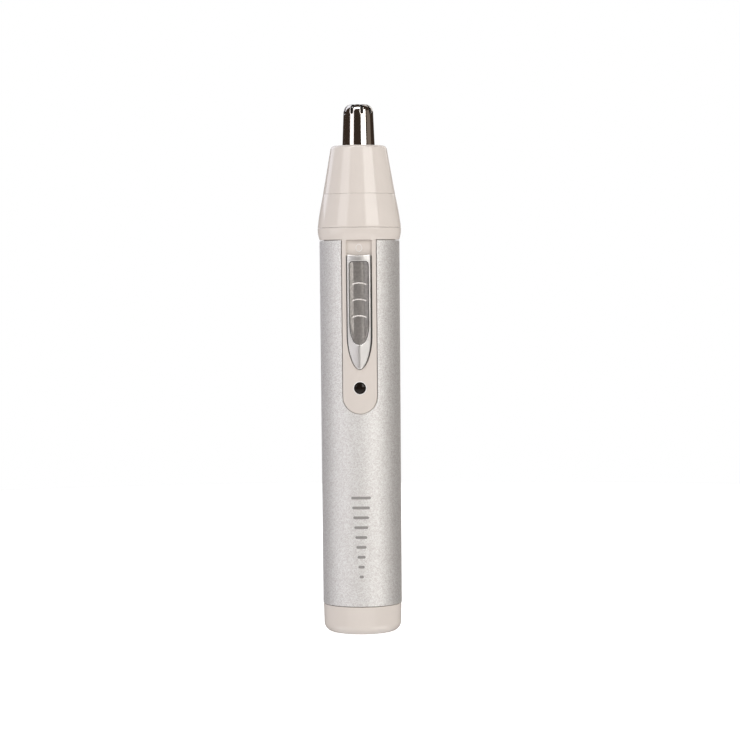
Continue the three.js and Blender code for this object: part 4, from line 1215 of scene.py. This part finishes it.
def rotor_blade():
    """A flat blade with ground edges."""
    near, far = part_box("rotor_blade")
    low = near.z
    high = far.z
    half = far.x
    front = near.y
    thickness = -2 * front
    foot_rise = 0.0022
    wing_low = low + foot_rise
    wing_high = 0.1429
    foot_half = 0.0024
    top_half = 0.002
    round_rise = 0.0009
    round_half = 0.0028
    right = [Vector((foot_half, low)), Vector((half, wing_low)), Vector((half, wing_high))]
    corner = ((half, wing_high), (half, wing_high + round_rise), (round_half, high), (top_half, high))
    right += bezier(*map(Vector, corner), 12)[1:]
    right.append(Vector((top_half, high)))
    left = [Vector((-p.x, p.y)) for p in reversed(right)]
    outline = densified([*right, *left], PLAIN_STEP)
    build = bmesh.new()
    sheet(build, [outline], [], PLAIN, thickness, EDGE, front_place(lambda x, z: front))
    weigh_normals(piece("blade", build, "rotor_blade"))


def motor_shaft():
    radius = 0.001
    low, high = heights("motor_shaft")
    build = turned([(0, low, 0), (radius, low, EDGE), (radius, high, EDGE), (0, high, 0)], 32)
    weigh_normals(piece("shaft", build, "motor_shaft"))


def motor_screws():
    """Two pan-head screws with a cross recess."""
    seat = 0.1113
    head = 0.00148
    neck = 0.0014
    neck_top = seat + 0.0003
    dome = 0.0004
    shank = 0.00074
    arm = 0.0008
    slit = 0.00016
    spacing = (0.0003, 0.0003)
    cap = 0.00042
    recess_rounding = 0.00004
    cross = []
    for quarter in range(4):
        turn = Matrix.Rotation(math.pi / 2 * quarter, 2)
        cross += [turn @ Vector(p) for p in ((arm, -slit), (arm, slit), (slit, slit))]
    disc = ellipse(0, 0, head, head)
    for side in ("left", "right"):
        low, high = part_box(f"motor_screw_{side}")
        build = turned([
            (0, low.z, 0), (shank, low.z, SOFT), (shank, seat, 0),
            (neck, seat, 0), (neck, neck_top, 0), (0, neck_top, 0),
        ], 32)

        def domed(x, y, depth, crown=high.z):
            return Vector((x, y, crown - dome * (x * x + y * y) / (head * head) - depth))

        sheet(build, [disc], [cross[::-1]], spacing, cap, EDGE, domed, hole_fillet=recess_rounding)
        bmesh.ops.translate(build, vec=((low.x + high.x) / 2, 0, 0), verts=build.verts)
        weigh_normals(piece(f"bulkhead_screw_{side}", build, f"motor_screw_{side}"))


def cutter_retainer():
    inside = 0.0047
    outside = 0.006
    low, high = heights("cutter_retainer")
    corners = [(inside, low, EDGE), (outside, low, EDGE), (outside, high, EDGE), (inside, high, EDGE)]
    weigh_normals(piece("retainer", turned(corners), "cutter_retainer"))


# ---- stage and lights


def add_area(name, azimuth, elevation, distance, width, height, radiance, color, centre_z, works="all"):
    """A soft box that faces the trimmer. Azimuth 0 is in front of the switch, and grows to the right.

    It can work as a fill for matt surfaces, as a reflection in glossy ones, or as both.
    """
    a = math.radians(azimuth)
    e = math.radians(elevation)
    target = Vector((0, 0, centre_z))
    away = Vector((math.sin(a) * math.cos(e), -math.cos(a) * math.cos(e), math.sin(e)))
    data = bpy.data.lights.new(name, "AREA")
    data.shape = "RECTANGLE"
    data.size = width
    data.size_y = height
    data.energy = radiance * math.pi * width * height
    data.color = color
    made = bpy.data.objects.new(name, data)
    made.location = target + away * distance
    made.rotation_mode = "QUATERNION"
    made.rotation_quaternion = (-away).to_track_quat("-Z", "Y")
    made.visible_camera = False
    made.visible_glossy = works in ("all", "reflection")
    made.visible_diffuse = works in ("all", "fill")
    bpy.context.scene.collection.objects.link(made)


def add_world():
    """White to the camera, a soft even fill for matt surfaces, and in reflections a dark room.

    The room's far wall and its table are white.
    """
    world = bpy.data.worlds.new("studio")
    world.use_nodes = True
    tree = world.node_tree
    background = tree.nodes["Background"]
    paths = tree.nodes.new("ShaderNodeLightPath")
    directions = tree.nodes.new("ShaderNodeTexCoord")
    split = tree.nodes.new("ShaderNodeSeparateXYZ")
    link(tree, directions.outputs["Generated"], split.inputs["Vector"])
    rise = mapped(tree, split.outputs["Z"], 0, 1, -0.3, 0.3)
    fill = blended(tree, rise, (0.72, 0.71, 0.71), (0.46, 0.46, 0.46))
    table = mapped(tree, split.outputs["Z"], 1, 0, -0.75, -0.5)
    wall = mapped(tree, split.outputs["Y"], 0, 1, 0.92, 0.98)
    white = tree.nodes.new("ShaderNodeMath")
    white.operation = "MAXIMUM"
    link(tree, table, white.inputs[0])
    link(tree, wall, white.inputs[1])
    mirrored = blended(tree, white.outputs["Value"], (0.05, 0.034, 0.024), (0.85, 0.84, 0.84))
    room = blended(tree, paths.outputs["Is Glossy Ray"], fill, mirrored)
    seen = blended(tree, paths.outputs["Is Camera Ray"], room, (1, 1, 1))
    link(tree, seen, background.inputs["Color"])
    bpy.context.scene.world = world


def add_floor():
    build = bmesh.new()
    bmesh.ops.create_circle(build, cap_ends=True, segments=96, radius=0.5)
    mesh = bpy.data.meshes.new("floor")
    build.to_mesh(mesh)
    build.free()
    floor = bpy.data.objects.new("floor", mesh)
    floor.visible_glossy = False
    floor.visible_diffuse = False
    bpy.context.scene.collection.objects.link(floor)
    made = surface("pale_floor", (0.88, 0.88, 0.88), 0.8, mottle=0.005, patch=0.3, relief=0.0)
    shader = made.node_tree.nodes["Principled BSDF"]
    set_inputs(shader, Specular_IOR_Level=0, Emission_Color=(1, 1, 1, 1), Emission_Strength=0.6)
    mesh.materials.append(made)


bpy.context.scene.view_settings.view_transform = "Standard"
add_world()
add_floor()
# Name, azimuth, elevation, distance, width, height, radiance, colour, aimed-at height.
add_area("left_box", -48.5, 26, 0.62, 0.32, 0.5, 2.0, (0.985, 0.97, 1.0), 0.12)
add_area("right_box", 38.5, 20, 0.62, 0.4, 0.36, 3.3, (1.0, 0.985, 0.955), 0.12)
add_area("front_bounce", -4, -36, 0.6, 1.0, 0.42, 0.6, (1.0, 0.98, 0.97), 0.09)
add_area("left_bounce", -68, -36, 0.6, 0.6, 0.36, 1.0, (0.97, 0.97, 1.0), 0.03, "reflection")
add_area("right_bounce", 60, -36, 0.6, 0.5, 0.36, 2.0, (1.0, 0.985, 0.96), 0.03, "reflection")
add_area("left_gleam", -70, 0, 0.62, 0.42, 0.2, 1.2, (0.97, 0.97, 1.0), 0.055, "reflection")
add_area("right_gleam", 62, 0, 0.62, 0.28, 0.2, 0.35, (1.0, 0.985, 0.96), 0.055, "reflection")
add_area("top_strip", -4, 60, 0.7, 0.7, 0.3, 3.4, (1.0, 0.99, 0.975), 0.09, "reflection")
add_area("left_fill", -118, 8, 0.8, 0.7, 0.6, 1.8, (0.92, 0.94, 1.03), 0.09, "fill")
add_area("left_back_box", -138, 34, 0.8, 0.7, 0.68, 1.4, (0.91, 0.94, 1.05), 0.1, "reflection")
add_area("right_back_box", 150, 34, 0.8, 0.4, 0.68, 1.0, (1.0, 0.985, 0.96), 0.1, "reflection")
add_area("right_fill", 118, 8, 0.8, 0.7, 0.6, 1.0, (1.0, 0.97, 0.95), 0.09, "fill")
add_area("right_glow", 84, 12, 0.8, 0.5, 0.3, 0.2, (1.0, 0.88, 0.77), 0.14)
add_area("back_fill", 170, 30, 0.8, 0.6, 0.6, 1.0, (1.0, 1.0, 1.0), 0.09, "fill")

# ---- the trimmer

body_sleeve()
inner_body_front()
bottom_cap()
charge_inlet()
slide_shell()
gap_shade_plate()
thumb_pad()
indicator()
numeral()
printed_mark()
head_base()
head_cap()
outer_cutter()
head_seal()
drive_coupling()
blade_spring()
blade_carrier()
rotor_blade()
motor_shaft()
motor_screws()
cutter_retainer()
